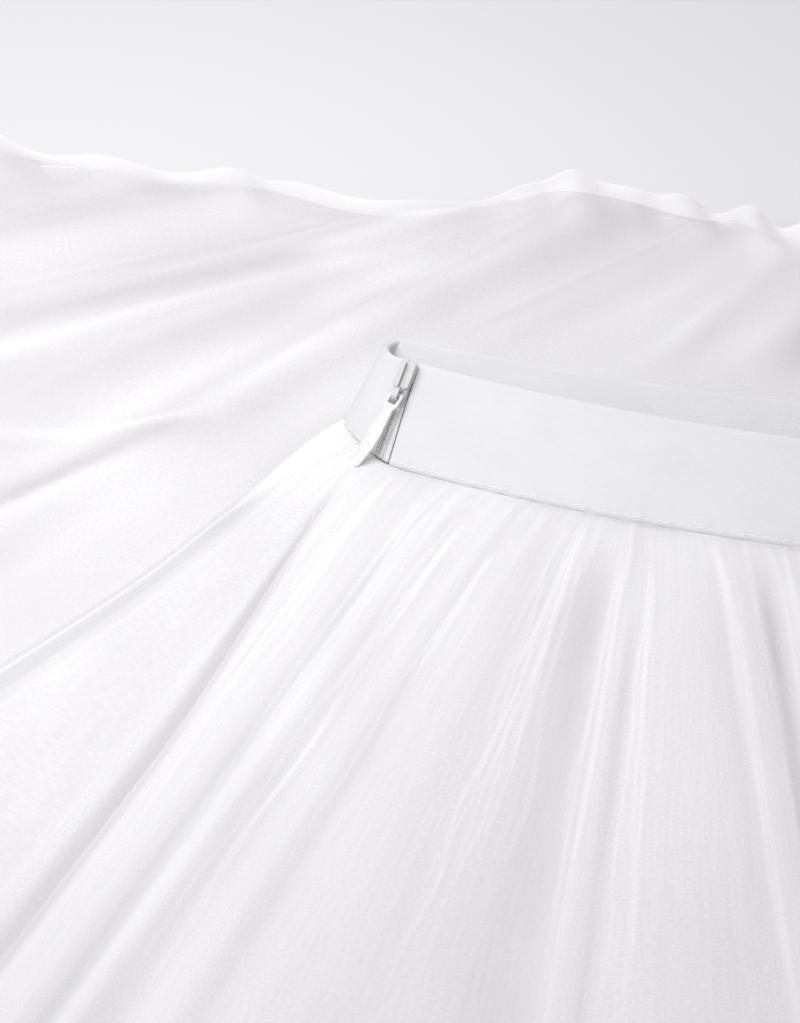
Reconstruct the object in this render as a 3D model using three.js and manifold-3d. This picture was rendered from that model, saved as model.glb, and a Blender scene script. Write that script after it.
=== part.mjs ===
// A white tulle midi skirt lying on a surface, folded once across: the waist end is turned back over the
// skirt's own length, so that the waistband with its side zip lies on top and the hem spreads out behind it.
// Millimetres, +Z up. The origin is on the resting plane, straight below the middle of the front waist seam.
// +X runs along the waistband, +Y from the seam to the waist opening and on to the hem behind it.
import Module from "manifold-3d";
import * as THREE from "three";
import { mergeVertices } from "three/addons/utils/BufferGeometryUtils.js";

const wasm = await Module();
wasm.setup();

// ---- Driving sizes ----
const WAIST_FLAT = 340; // laid-flat waist width, half of a 680 mm waist
const BAND_HEIGHT = 32;
const BAND_THICK = 2.2; // folded strip with its stiffening
const SKIRT_LENGTH = 720; // seam to hem
const TURN_BACK = 235; // seam to the crest of the turn
const TULLE = 1.0; // wall that stands for one net layer
const SEAM_GAP = 0.3;
const BODY_TOP = 36; // height of the lower length where the waist end lies on it
const HEM_TOP = 11; // height of the stacked layers at the hem
const NOSE_REACH = 28; // how far the turn bulges past its crest
const ZIP_FROM_FOLD = 10; // zip, measured across the band from the side fold

const HALF = WAIST_FLAT / 2;
const RAD = Math.PI / 180;
const clamp = (v, lo, hi) => Math.min(hi, Math.max(lo, v));
const lerp = (a, b, t) => a + (b - a) * t;
const ease = (a, b, v) => {
  const t = clamp((v - a) / (b - a), 0, 1);
  return t * t * (3 - 2 * t);
};
const middle = (x) => 1 - (x / HALF) ** 2; // 1 at the middle of the waist, 0 at its side folds

// ---- Closed solids from grids of points ----
// A grid is rows of Vector3. front faces outwards, back lies behind it with the same rows and columns, and
// rims are closed strips between their borders. Between them the border may pass through extra loops.
function closedSolid(front, back, loops = []) {
  const rows = front.length;
  const cols = front[0].length;
  const positions = [];
  const triangles = [];
  const add = (p) => positions.push(p.x, p.y, p.z) / 3 - 1;
  const ids = (grid) => grid.map((row) => row.map(add));
  const frontIds = ids(front);
  const backIds = ids(back);
  const quad = (a, b, c, d) => triangles.push(a, b, c, a, c, d);
  for (let r = 0; r + 1 < rows; r++)
    for (let c = 0; c + 1 < cols; c++) {
      quad(frontIds[r][c], frontIds[r][c + 1], frontIds[r + 1][c + 1], frontIds[r + 1][c]);
      quad(backIds[r][c], backIds[r + 1][c], backIds[r + 1][c + 1], backIds[r][c + 1]);
    }
  const chain = [borderOf(frontIds), ...loops.map((loop) => loop.map(add)), borderOf(backIds)];
  for (let k = 0; k + 1 < chain.length; k++)
    chain[k].forEach((id, i) => {
      const j = (i + 1) % chain[k].length;
      quad(id, chain[k + 1][i], chain[k + 1][j], chain[k][j]);
    });
  const geometry = new THREE.BufferGeometry();
  geometry.setAttribute("position", new THREE.Float32BufferAttribute(positions, 3));
  geometry.setIndex(triangles);
  return geometry;
}

// The border of a grid as one loop, anticlockwise where its rows run away along +Y and columns along +X.
function borderOf(grid) {
  const last = grid.length - 1;
  const end = grid[0].length - 1;
  return [
    ...grid[0].slice(0, end),
    ...grid.slice(0, last).map((row) => row[end]),
    ...grid[last].slice(1).reverse(),
    ...grid.slice(1).reverse().map((row) => row[0]),
  ];
}

function gridOf(rows, cols, point) {
  return Array.from({ length: rows }, (_, r) => Array.from({ length: cols }, (_, c) => point(r, c)));
}

// Unit normals of a grid, (along its columns) x (along its rows).
function normalsOf(grid) {
  const at = (r, c) => grid[clamp(r, 0, grid.length - 1)][clamp(c, 0, grid[0].length - 1)];
  return gridOf(grid.length, grid[0].length, (r, c) => {
    const across = at(r, c + 1).clone().sub(at(r, c - 1));
    const along = at(r + 1, c).clone().sub(at(r - 1, c));
    return across.cross(along).normalize();
  });
}

// A cloth wall: the grid is its outer face, and its inner face lies thick behind it.
function clothWall(grid, thick) {
  const normals = normalsOf(grid);
  const inner = grid.map((row, r) => row.map((p, c) => p.clone().addScaledVector(normals[r][c], -thick)));
  return closedSolid(grid, inner);
}

// ---- The waistband: a flattened ring, dipped at the front, its opening tilted up ----
const FOLD_RADIUS = 5; // outer radius of the band's side folds
const SEAM_BOW = 23; // how far the band's ends lie behind its middle
const dipHalf = (x) => 8 + 6 * middle(x); // the back of the band lies twice this far behind the front
const openHalf = (x) => FOLD_RADIUS + 3 * middle(x);
const bandMid = (x) => 47 + 5 * middle(x);
const raised = (x) => (24 - 5 * middle(x)) * RAD;
// At the seam the zip's end of the band curls back, and its side fold stands out to the left.
const drawnBack = (x) => 8 * Math.exp(-(((x + HALF) / 8) ** 2));
const drawnOut = (x) => 2.5 * Math.exp(-(x + HALF) / 5);

// Position on the ring at arc mm from the left side fold: positive over the front, negative under the back.
function ringSection(arc) {
  const quarter = (FOLD_RADIUS * Math.PI) / 2;
  const straight = WAIST_FLAT - 2 * FOLD_RADIUS;
  const length = Math.abs(arc);
  const side = Math.sign(arc) || 1;
  if (length <= quarter) {
    const turn = length / FOLD_RADIUS;
    return { x: FOLD_RADIUS * (1 - Math.cos(turn)) - HALF, rise: side * Math.sin(turn) };
  }
  if (length <= quarter + straight) return { x: FOLD_RADIUS + length - quarter - HALF, rise: side };
  const turn = Math.PI / 2 - (length - quarter - straight) / FOLD_RADIUS;
  return { x: HALF - FOLD_RADIUS * (1 - Math.cos(turn)), rise: side * Math.sin(turn) };
}
const RING_HALF = WAIST_FLAT - 2 * FOLD_RADIUS + FOLD_RADIUS * Math.PI;

// Outer point of the band: share is 0 at the seam and 1 at the waist opening.
function bandPoint(arc, share) {
  const { x, rise } = ringSection(arc);
  const slope = (2 * SEAM_BOW * x) / HALF ** 2;
  const away = new THREE.Vector3(-slope, 1, 0).normalize().multiplyScalar(Math.cos(raised(x)));
  away.z = Math.sin(raised(x));
  const back = drawnBack(x) * (1 - share);
  const y = dipHalf(0) + SEAM_BOW * (x / HALF) ** 2 - dipHalf(x) * rise + back;
  const foot = new THREE.Vector3(x - drawnOut(x) * (1 - share), y, bandMid(x) + openHalf(x) * rise);
  return foot.addScaledVector(away, BAND_HEIGHT * share);
}

const ZIP_OPEN_TOP = 2.6; // gap between the two band ends at the waist opening and at the seam
const ZIP_OPEN_SEAM = 6;
const ZIP_ARC = ZIP_FROM_FOLD + FOLD_RADIUS * (Math.PI / 2 - 1);

// Arcs at which a strip of band has its columns: close together round the side folds.
function columnArcs(from, to) {
  const fold = (FOLD_RADIUS * Math.PI) / 2 + 0.5;
  const arcs = [from];
  while (arcs.at(-1) < to) {
    const at = arcs.at(-1);
    const tight = Math.abs(at + 1) < fold || Math.abs(at) > RING_HALF - fold - 1;
    arcs.push(Math.min(at + (tight ? 2 : 9), to));
  }
  if (arcs.length > 2 && to - arcs.at(-2) < 1) arcs.splice(-2, 1);
  return arcs;
}

// A strip of waistband from one arc to another, each given at the seam and at the opening.
function bandStrip(name, from, to, material) {
  const arcs = columnArcs(from.seam, to.seam);
  const shares = [0, 0.33, 0.67, 1];
  const grid = gridOf(shares.length, arcs.length, (r, c) => {
    const t = (arcs[c] - from.seam) / (to.seam - from.seam);
    const share = shares[r];
    return bandPoint(lerp(lerp(from.seam, from.opening, share), lerp(to.seam, to.opening, share), t), share);
  });
  return named(name, clothWall(grid, BAND_THICK), material);
}

function named(name, geometry, material) {
  const mesh = new THREE.Mesh(geometry, material);
  mesh.name = name;
  return mesh;
}

// ---- The turned-back waist end ----
const EDGE_AT_TURN = 9; // width of its rounded sides at the turn, measured at the seam
const edgeShare = (reach) => lerp(FOLD_RADIUS, EDGE_AT_TURN, ease(0, 120, reach)) / WAIST_FLAT;
// How far the gathers stand up past the seam: less below the zip's end.
const puffHeight = (x) => 9 - 7.5 * Math.exp(-(x + HALF) / 14);
const CREST = 64; // height of the turn's crest
const FLOOR_GAP = 0.3;

// Headings of the cloth as it leaves the waist seam: at mm from the left side fold, in degrees from -Y.
const FAN = [
  { at: 0, heading: -44 },
  { at: 4, heading: -40 },
  { at: 10, heading: -25 },
  { at: 16, heading: -22 },
  { at: 40, heading: -23 },
  { at: 58, heading: -21 },
  { at: 82, heading: -5 },
  { at: 104, heading: 8 },
  { at: 140, heading: 11 },
  { at: 185, heading: 8 },
  { at: 225, heading: 12 },
  { at: 265, heading: 21 },
  { at: 300, heading: 20 },
  { at: 326, heading: 25 },
  { at: 334, heading: 34 },
  { at: 340, heading: 40 },
];
const FAN_LEFT = FAN[0].heading;
const FAN_RIGHT = FAN.at(-1).heading;
const SIDE_PUFF = 5; // how far the gathers swell sideways past the band's side folds
const PUFF_WIDTH = 9;
function fanHeading(at) {
  const next = clamp(FAN.findIndex((row) => row.at >= at), 1, FAN.length - 1);
  const [before, after] = [FAN[next - 1], FAN[next]];
  return lerp(before.heading, after.heading, ease(before.at, after.at, at)) * RAD;
}

// Plan of a point at a share across the fan and reach mm from the seam. rise is 0 at its side folds, 1 on top.
function fanPlan(across, reach, rise = 1) {
  const x = lerp(-HALF, HALF, across);
  const heading = fanHeading(across * WAIST_FLAT);
  const back = drawnBack(x) * Math.exp(-reach / 40);
  const start = dipHalf(0) + SEAM_BOW * (x / HALF) ** 2 - dipHalf(x) * rise + back;
  const swell = Math.exp((x - HALF) / PUFF_WIDTH) - Math.exp(-(x + HALF) / PUFF_WIDTH);
  const puff = SIDE_PUFF * swell * (1 - Math.exp(-reach / 12)) - drawnOut(x) * Math.exp(-reach / 20);
  return new THREE.Vector2(x + puff + reach * Math.sin(heading), start - reach * Math.cos(heading));
}

// How much further than TURN_BACK the crest lies at a share across.
const wander = (across) => 6 * Math.sin(across * 8.5 + 0.4) + 3 * Math.sin(across * 19 + 2);

// Heights of the turned-back end at its side edges and along its top.
function sideHeight(reach) {
  return lerp(bandMid(HALF), BODY_TOP + 3, ease(0, 34, reach));
}
function topHeight(x, reach) {
  const seam = bandMid(x) + openHalf(x);
  const puffed = puffHeight(x) * (1 - Math.exp(-reach / 17));
  return lerp(seam + puffed, CREST, ease(40, TURN_BACK, reach));
}

// Columns across a rounded section: the share of its rounded edge or of its middle, and of its height.
function roundedColumns(edgeCols, middles) {
  const edge = Array.from({ length: edgeCols }, (_, i) => (i / edgeCols) * (Math.PI / 2));
  return [
    ...edge.map((turn) => ({ left: true, inEdge: 1 - Math.cos(turn), rise: Math.sin(turn) })),
    ...middles.map((at) => ({ middle: at, rise: 1 })),
    ...edge.reverse().map((turn) => ({ left: false, inEdge: 1 - Math.cos(turn), rise: Math.sin(turn) })),
  ];
}
const evenly = (n, from = 0, to = 1) => Array.from({ length: n }, (_, i) => lerp(from, to, i / (n - 1)));
function acrossOf(column, edge) {
  if (column.middle !== undefined) return lerp(edge, 1 - edge, column.middle);
  return column.left ? edge * column.inEdge : 1 - edge * column.inEdge;
}

// A smooth point on the turned-back end. reach runs from the seam to the crest, and then turn runs from
// 0 at the crest to 1 under the turn. inset draws the face inwards.
function turnedPoint(column, reach, turn, inset) {
  const drawnIn = inset / WAIST_FLAT;
  const across = lerp(drawnIn, 1 - drawnIn, acrossOf(column, edgeShare(reach)));
  const x = lerp(-HALF, HALF, across);
  const top = lerp(sideHeight(reach), topHeight(x, reach), column.rise) - inset * column.rise;
  const further = wander(across) * ease(90, TURN_BACK, reach);
  if (turn <= 0) {
    const plan = fanPlan(across, reach + further, column.rise);
    return new THREE.Vector3(plan.x, plan.y, top);
  }
  const angle = Math.PI / 2 - turn * Math.PI;
  const foot = FLOOR_GAP + inset;
  const half = (top - foot) / 2;
  const bulge = (NOSE_REACH - inset) * Math.cos(angle);
  const plan = fanPlan(across, TURN_BACK + further + bulge, column.rise);
  return new THREE.Vector3(plan.x, plan.y, foot + half * (1 + Math.sin(angle)));
}

// Gathers of the turned-back end, as ridges that start at the waist seam: mm from the left side fold at the
// seam, height and half width 120 mm further on, and how far the ridge leans to the right on the way, in mm.
const MAIN_FOLDS = [
  { at: 22, height: 2, width: 5, lean: 1 },
  { at: 37.5, height: 4, width: 6, lean: 0 },
  { at: 51.5, height: 3, width: 5, lean: 1 },
  { at: 61, height: 4, width: 7, lean: 4 },
  { at: 85, height: 1.5, width: 5, lean: 0 },
  { at: 96, height: 4.5, width: 8, lean: 0 },
  { at: 109, height: 2, width: 5, lean: 0 },
  { at: 129, height: 4.5, width: 8, lean: -2 },
  { at: 150, height: 3, width: 7, lean: 3 },
  { at: 169, height: 5, width: 9, lean: -2 },
  { at: 188, height: 3, width: 7, lean: 2 },
  { at: 206, height: 4.5, width: 9, lean: 3 },
  { at: 228, height: 3.5, width: 8, lean: -2 },
  { at: 247, height: 5, width: 9, lean: 2 },
  { at: 268, height: 3, width: 7, lean: -3 },
  { at: 288, height: 4.5, width: 9, lean: 2 },
  { at: 308, height: 3.5, width: 8, lean: -1 },
  { at: 327, height: 3, width: 7, lean: 3 },
];

// Columns over the flat middle between two places at the seam in mm, spaced evenly where the fan has opened.
function fanColumns(count, from, to) {
  const opened = (at) => at + 70 * Math.sin(fanHeading(at));
  const places = evenly(Math.round((to - from) * 4) + 2, from, to);
  return evenly(count, opened(from), opened(to)).map((goal) => {
    const at = goal >= opened(to) ? to : places.find((place) => opened(place) >= goal - 1e-9);
    return { middle: (at - EDGE_AT_TURN) / (WAIST_FLAT - 2 * EDGE_AT_TURN), rise: 1 };
  });
}

// How far the gathers lift the cloth at a share across and a reach.
function gatherHeight(across, reach) {
  const at = across * WAIST_FLAT;
  const grown = ease(0, 120, reach);
  return MAIN_FOLDS.reduce((height, fold) => {
    const off = (at - fold.at - fold.lean * grown) / (fold.width * lerp(0.55, 0.8, grown));
    return height + fold.height * lerp(0.2, 1, grown) * Math.exp(-off * off);
  }, 0);
}

// Stations along the turned-back end, from under the turn back to the seam.
const SEAM_START = 0.8; // the panels start this far from the band
const REACHES = [SEAM_START, 8, 22, 46, 82, 126, 178, TURN_BACK];
const TURNS = [0.2, 0.4, 0.6, 0.8, 1];
const STATIONS = [
  ...REACHES.map((reach) => ({ reach, turn: 0 })),
  ...TURNS.map((turn) => ({ reach: TURN_BACK, turn })),
].reverse();

// A panel of the turned-back end over some of its columns, lifted by its gathers.
function turnedPanel(name, columns) {
  const smooth = STATIONS.map(({ reach, turn }) => columns.map((column) => turnedPoint(column, reach, turn, 0)));
  const normals = normalsOf(smooth);
  const grid = smooth.map((row, r) =>
    row.map((p, c) => {
      const { reach, turn } = STATIONS[r];
      const kept = columns[c].rise * lerp(1, 0, ease(0.3, 1, turn)) * ease(0, 6, reach);
      const across = acrossOf(columns[c], edgeShare(reach));
      return p.clone().addScaledVector(normals[r][c], kept * gatherHeight(across, reach));
    }),
  );
  return named(name, clothWall(grid, TULLE), net);
}

// The layers inside the turned-back end, as one rounded solid on the lower length. Its waist end slopes from
// the front seam down to the back seam, and its other end fills the turn down to the surface.
const LAYER_INSET = 2.9;
const LAYER_END = TURN_BACK - 14;
function turnedLayers() {
  const columns = roundedColumns(3, evenly(26));
  const top = STATIONS.map(({ reach, turn }) =>
    columns.map((column) => turnedPoint(column, reach, turn, LAYER_INSET)),
  );
  const under = BODY_TOP + 0.6;
  const bottom = STATIONS.map(({ reach, turn }, r) =>
    columns.map((column, c) => {
      const drawnIn = LAYER_INSET / WAIST_FLAT;
      const across = lerp(drawnIn, 1 - drawnIn, acrossOf(column, edgeShare(reach)));
      const x = lerp(-HALF, HALF, across);
      if (turn > 0) {
        const plan = fanPlan(across, LAYER_END, column.rise);
        return new THREE.Vector3(plan.x, plan.y, lerp(under, FLOOR_GAP + LAYER_INSET, turn));
      }
      const back = (2 * dipHalf(x) - 2) * column.rise * (1 - ease(0, 46, reach));
      const plan = fanPlan(across, Math.min(reach, LAYER_END), column.rise);
      const seam = bandMid(x) - openHalf(x) * column.rise + 1;
      const height = Math.min(lerp(seam, under, ease(0, 24, reach)), top[r][c].z - 1);
      return new THREE.Vector3(plan.x, plan.y + back, height);
    }),
  );
  return named("turned_layers", closedSolid(top, bottom), lining);
}

// ---- The lower length of the skirt, from the turn to the hem ----
const BODY_EDGE = 42; // width of its rounded sides
const NEAR_SHARE = 0.012; // its near end is this much narrower than the turn, at each side
const NEAR_GAP = 3.5; // from the layers that fill the turn
const UNDER_GAP = 1.2; // under sheet to the upper panels, under the turn
const LOWER_INSET = 4.5; // of its hidden layers, inside the net
const SPLAY_LEFT = -27; // degrees by which its sides splay out on the way to the hem
const SPLAY_RIGHT = 20;
const ROUND_TURN = 82; // cloth taken up round the turn
const LOWER_LENGTH = SKIRT_LENGTH - TURN_BACK - ROUND_TURN;
// Soft drag folds across the lower length: where the ridge crosses y = 0, its heading from +X, and its form.
const DRAG_FOLDS = [
  { crossX: -520, heading: 30, height: 5, width: 24 },
  { crossX: -409, heading: 33, height: 7, width: 26 },
  { crossX: -338, heading: 40, height: 5, width: 20 },
  { crossX: -269, heading: 46, height: 8, width: 17 },
  { crossX: -228, heading: 46, height: 6, width: 15 },
  { crossX: -190, heading: 49, height: 4, width: 14 },
  { crossX: -155, heading: 52, height: 7, width: 15 },
  { crossX: -110, heading: 60, height: 6, width: 17 },
  { crossX: -62, heading: 62, height: 7, width: 20 },
  { crossX: -4, heading: 65, height: 6, width: 20 },
  { crossX: 52, heading: 69, height: 7, width: 22 },
  { crossX: 118, heading: 72, height: 5, width: 24 },
  { crossX: 188, heading: 78, height: 7, width: 25 },
  { crossX: 262, heading: 86, height: 6, width: 27 },
  { crossX: 340, heading: 96, height: 5, width: 28 },
  { crossX: 425, heading: 108, height: 6, width: 30 },
];

// Distance from (x, y) out of the ground that the turned-back end and its band cover.
function clearOfTurnedEnd(x, y) {
  const seamEnd = dipHalf(0) + SEAM_BOW;
  const left = -(x + HALF) * Math.cos(FAN_LEFT * RAD) + (y - seamEnd) * Math.sin(-FAN_LEFT * RAD);
  const right = (x - HALF) * Math.cos(FAN_RIGHT * RAD) + (y - seamEnd) * Math.sin(FAN_RIGHT * RAD);
  const behind = y - seamEnd - BAND_HEIGHT - 8;
  return Math.max(left - SIDE_PUFF, right - SIDE_PUFF, behind);
}

// The cloth between the folds lies this far below the covered ground. The hidden layers sink earlier.
const FOLD_SINK = 5;

// Height of the lower length's upper face before its edges are rounded, with its folds when folded is 1.
function lowerTop(x, y, folded) {
  const sunkEarly = 34 * (1 - folded);
  const free = ease(3, 34, clearOfTurnedEnd(x, y) + sunkEarly);
  const folds = DRAG_FOLDS.reduce((height, fold) => {
    const off = (x - fold.crossX) * Math.sin(fold.heading * RAD) - y * Math.cos(fold.heading * RAD);
    return height + folded * fold.height * Math.exp(-2 * (off / fold.width) ** 2);
  }, 0);
  return lerp(BODY_TOP, HEM_TOP + 4, ease(70, 190, y)) + (folds - FOLD_SINK) * free;
}

// Plan of the lower length: across is 0 to 1 from left to right, along is 0 at the turn and 1 at the hem.
function lowerPlan(across, along, nearReach = LAYER_END - NEAR_GAP) {
  const near = fanPlan(lerp(NEAR_SHARE, 1 - NEAR_SHARE, across), nearReach);
  const heading = lerp(SPLAY_LEFT, SPLAY_RIGHT, across) * RAD;
  const hemWave = 9 * Math.sin(across * 7 + 0.6) + 5 * Math.sin(across * 41) + 3 * Math.sin(across * 83 + 1);
  const length = (LOWER_LENGTH + hemWave) * along;
  return new THREE.Vector2(near.x + length * Math.sin(heading), near.y + length * Math.cos(heading));
}

// The lower length's upper face, lowered by drop, drawn in by inset mm round its border and no lower than foot.
const ALONGS = [0, 0.12, 0.24, 0.35, 0.45, 0.54, 0.62, 0.69, 0.755, 0.815, 0.87, 0.92, 0.965, 1];
const LOWER_WIDTH = 900; // rough width, which turns mm into shares
function lowerFace(columns, alongs, folded, drop, inset, foot) {
  return alongs.map((along) =>
    columns.map((column) => {
      const across = acrossOf(column, BODY_EDGE / LOWER_WIDTH);
      const drawn = lerp(inset / LOWER_WIDTH, 1 - inset / LOWER_WIDTH, across);
      const plan = lowerPlan(drawn, Math.min(along, 1 - inset / LOWER_LENGTH));
      const top = lowerTop(plan.x, plan.y, folded) * lerp(1, 0.72, ease(0.94, 1, along)) - drop;
      return new THREE.Vector3(plan.x, plan.y, lerp(foot, Math.max(top, foot + 1), column.rise));
    }),
  );
}

// The under side of the lower length: a flat sheet on the surface, from under the turn out to the hem.
function underSheet() {
  const at = (height) =>
    [0, 0.04, 0.5, 1].map((along) =>
      evenly(36).map((share) => {
        const across = along ? share : lerp(0.025, 0.975, share);
        const underTurn = TURN_BACK - UNDER_GAP + wander(lerp(NEAR_SHARE, 1 - NEAR_SHARE, across));
        const plan = lowerPlan(across, along, along ? undefined : underTurn);
        return new THREE.Vector3(plan.x, plan.y, height);
      }),
    );
  return named("front_tulle_lower", closedSolid(at(TULLE), at(0)), net);
}

// The hidden layers of the lower length. At its border they show as separate edges, with grooves between.
function lowerLayers() {
  const columns = roundedColumns(3, evenly(26));
  const alongs = ALONGS.filter((_, i) => i % 2 === 0 || i === ALONGS.length - 1);
  const foot = TULLE + SEAM_GAP;
  const top = lowerFace(columns, alongs, 0, TULLE + 0.9, LOWER_INSET, foot + 0.5);
  const bottom = alongs.map((along) =>
    columns.map((column) => {
      const across = acrossOf(column, BODY_EDGE / LOWER_WIDTH);
      const drawn = lerp(LOWER_INSET / LOWER_WIDTH, 1 - LOWER_INSET / LOWER_WIDTH, across);
      const plan = lowerPlan(drawn, Math.min(along, 1 - LOWER_INSET / LOWER_LENGTH));
      return new THREE.Vector3(plan.x, plan.y, foot);
    }),
  );
  const upper = borderOf(top);
  const lower = borderOf(bottom);
  const middleOf = new THREE.Vector3(0, -20, 0);
  const groove = (share, depth) =>
    upper.map((p, i) => {
      const point = p.clone().lerp(lower[i], share);
      const inward = middleOf.clone().sub(point).setZ(0).normalize();
      return point.addScaledVector(inward, depth * ease(1, 4, p.z - lower[i].z));
    });
  const loops = [groove(0.2, 0), groove(0.34, 3), groove(0.5, 0.5), groove(0.66, 3), groove(0.8, 0)];
  return named("lower_layers", closedSolid(top, bottom, loops), lining);
}

// ---- The side zip: tape, slider and pull ----
const SLIDER_ABOVE = 10.8; // slider's length above the pull's pin, and below it
const SLIDER_BELOW = 2.4;
const SLIDER_WIDTH = 4.8;
const SLIDER_PLATE = 1.2;
const PIVOT_HEIGHT = 1.1; // pull's pin above the slider's plate
const PULL_LENGTH = 25;
const PULL_THICK = 1;
const PULL_LEAN = -7.5; // degrees it lies askew on its pin, to the left
const PULL_LIFT = -6; // degrees its end is lifted by the gathers below it
const SLIDER_SHARE = 0.61; // the pull's pin, as a share of the band's height from the seam

// The zip's own frame: x across to the right, y up the zip towards the opening, z out of the band.
function zipFrame() {
  const at = bandPoint(ZIP_ARC, SLIDER_SHARE);
  const up = bandPoint(ZIP_ARC, 1).sub(bandPoint(ZIP_ARC, 0)).normalize();
  const across = bandPoint(ZIP_ARC + 1.5, SLIDER_SHARE).sub(bandPoint(ZIP_ARC - 1.5, SLIDER_SHARE));
  across.addScaledVector(up, -across.dot(up)).normalize();
  const frame = new THREE.Group();
  const out = across.clone().cross(up);
  frame.matrixAutoUpdate = false;
  frame.matrix.makeBasis(across, up, out).setPosition(at.addScaledVector(out, FLOOR_GAP));
  return frame;
}

function zipTape() {
  const shares = [0.02, 0.5, 0.97];
  const arcs = [-4.2, -2, 0, 2, 4, 6].map((off) => ZIP_ARC + off);
  const outer = gridOf(shares.length, arcs.length, (r, c) => bandPoint(arcs[c], shares[r]));
  const normals = normalsOf(outer);
  const sunk = (depth) =>
    outer.map((row, r) => row.map((p, c) => p.clone().addScaledVector(normals[r][c], -depth)));
  const top = BAND_THICK + SEAM_GAP;
  return named("zip_tape", closedSolid(sunk(top), sunk(top + TULLE)), tape);
}

// An outline from rounded corners: [x, y, radius] for each corner, anticlockwise.
function roundedShape(corners, Kind = THREE.Shape) {
  const shape = new Kind();
  corners.forEach(([x, y, radius], i) => {
    const corner = new THREE.Vector2(x, y);
    const before = new THREE.Vector2(...corners.at(i - 1));
    const after = new THREE.Vector2(...corners[(i + 1) % corners.length]);
    const into = corner.clone().add(before.sub(corner).setLength(radius));
    const out = corner.clone().add(after.sub(corner).setLength(radius));
    if (i) shape.lineTo(into.x, into.y);
    else shape.moveTo(into.x, into.y);
    shape.quadraticCurveTo(corner.x, corner.y, out.x, out.y);
  });
  shape.closePath();
  return shape;
}
const slab = (shape, depth) =>
  new THREE.ExtrudeGeometry(shape, { depth, bevelEnabled: false, curveSegments: 3 });

// Joins closed geometries into one closed solid.
function joined(geometries) {
  const solids = geometries.map((geometry) => {
    const bare = geometry.index ? geometry.clone() : geometry;
    bare.deleteAttribute("normal");
    bare.deleteAttribute("uv");
    const merged = mergeVertices(bare, 1e-4);
    return new wasm.Manifold(
      new wasm.Mesh({
        numProp: 3,
        vertProperties: new Float32Array(merged.attributes.position.array),
        triVerts: new Uint32Array(merged.index.array),
      }),
    );
  });
  const mesh = solids.reduce((all, one) => all.add(one)).getMesh();
  const geometry = new THREE.BufferGeometry();
  geometry.setAttribute("position", new THREE.BufferAttribute(mesh.vertProperties, 3));
  geometry.setIndex(new THREE.BufferAttribute(mesh.triVerts, 1));
  return geometry;
}

// The slider: a plate on the band with two rails, a stem in the zip's opening and a bridge for the pull.
function zipSlider() {
  const half = SLIDER_WIDTH / 2;
  const plate = slab(
    roundedShape([
      [-half * 0.8, -SLIDER_BELOW, 0.8],
      [half * 0.8, -SLIDER_BELOW, 0.8],
      [half, SLIDER_ABOVE, 1.4],
      [-half, SLIDER_ABOVE, 1.4],
    ]),
    SLIDER_PLATE,
  );
  const stem = new THREE.BoxGeometry(1.4, 5.6, BAND_THICK).translate(0, 2, 0.1 - BAND_THICK / 2);
  const railStart = 2.4;
  const rail = roundedShape([
    [0.75, railStart, 0.5],
    [half - 0.1, railStart, 0.5],
    [half - 0.1, SLIDER_ABOVE - 0.3, 0.7],
    [0.75, SLIDER_ABOVE - 0.3, 0.5],
  ]);
  const rightRail = slab(rail, 1.3).translate(0, 0, SLIDER_PLATE - 0.1);
  const leftRail = rightRail.clone().translate(-half - 0.65, 0, 0);
  const inner = 1.15;
  const outer = 2.15;
  const height = PIVOT_HEIGHT + 1.9;
  const roof = height - 0.9;
  const arch = roundedShape([
    [-outer, -0.2, 0.1],
    [outer, -0.2, 0.1],
    [outer, height, 1.1],
    [-outer, height, 1.1],
  ]);
  const eye = [[inner, 0.1, 0.1], [-inner, 0.1, 0.1], [-inner, roof, 0.5], [inner, roof, 0.5]];
  arch.holes.push(roundedShape(eye, THREE.Path));
  const bridge = slab(arch, 1.7).translate(0, 0, -0.85).rotateX(Math.PI / 2).rotateZ(Math.PI / 2);
  bridge.translate(0, 0, SLIDER_PLATE);
  return named("zip_slider", joined([plate, stem, rightRail, leftRail, bridge]), enamel);
}

// The pull: a head with a window round the slider's bridge, a neck and a bar that widens to a round end.
function zipPull() {
  const head = 2.15;
  const window = 1.3;
  const end = 0.5 - PULL_LENGTH;
  const side = [
    [head, 0.5, 0.8],
    [head, -3.7, 0.7],
    [1.4, -4.9, 0.5],
    [1.5, -7, 0.8],
    [2.1, -13, 1.6],
    [2, -18, 1.6],
    [0.8, end, 0.7],
  ];
  const mirrored = side.map(([x, y, radius]) => [-x, y, radius]);
  const outline = roundedShape([...mirrored, ...side.reverse()]);
  const opening = [[window, -0.5, 0.3], [window, -3.3, 0.5], [-window, -3.3, 0.5], [-window, -0.5, 0.3]];
  outline.holes.push(roundedShape(opening, THREE.Path));
  const pull = slab(outline, PULL_THICK).translate(0, 0, -PULL_THICK / 2);
  pull.rotateX(PULL_LIFT * RAD).rotateZ(PULL_LEAN * RAD).translate(0, 0, SLIDER_PLATE + PIVOT_HEIGHT);
  return named("zip_pull", pull, enamel);
}

// ---- Materials ----
const cloth = (name, color, roughness) =>
  new THREE.MeshStandardMaterial({ name, color, roughness, metalness: 0 });
const bandCloth = cloth("band cloth", 0xf4f4f8, 0.7);
const net = cloth("tulle net", 0xf7f7fb, 0.85);
const lining = cloth("lining", 0xf1f1f5, 0.6);
const tape = cloth("zip tape", 0xededf0, 0.8);
const enamel = cloth("zip enamel", 0xe9e9e6, 0.35);

// ---- Assembly ----
const skirt = new THREE.Group();

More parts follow.
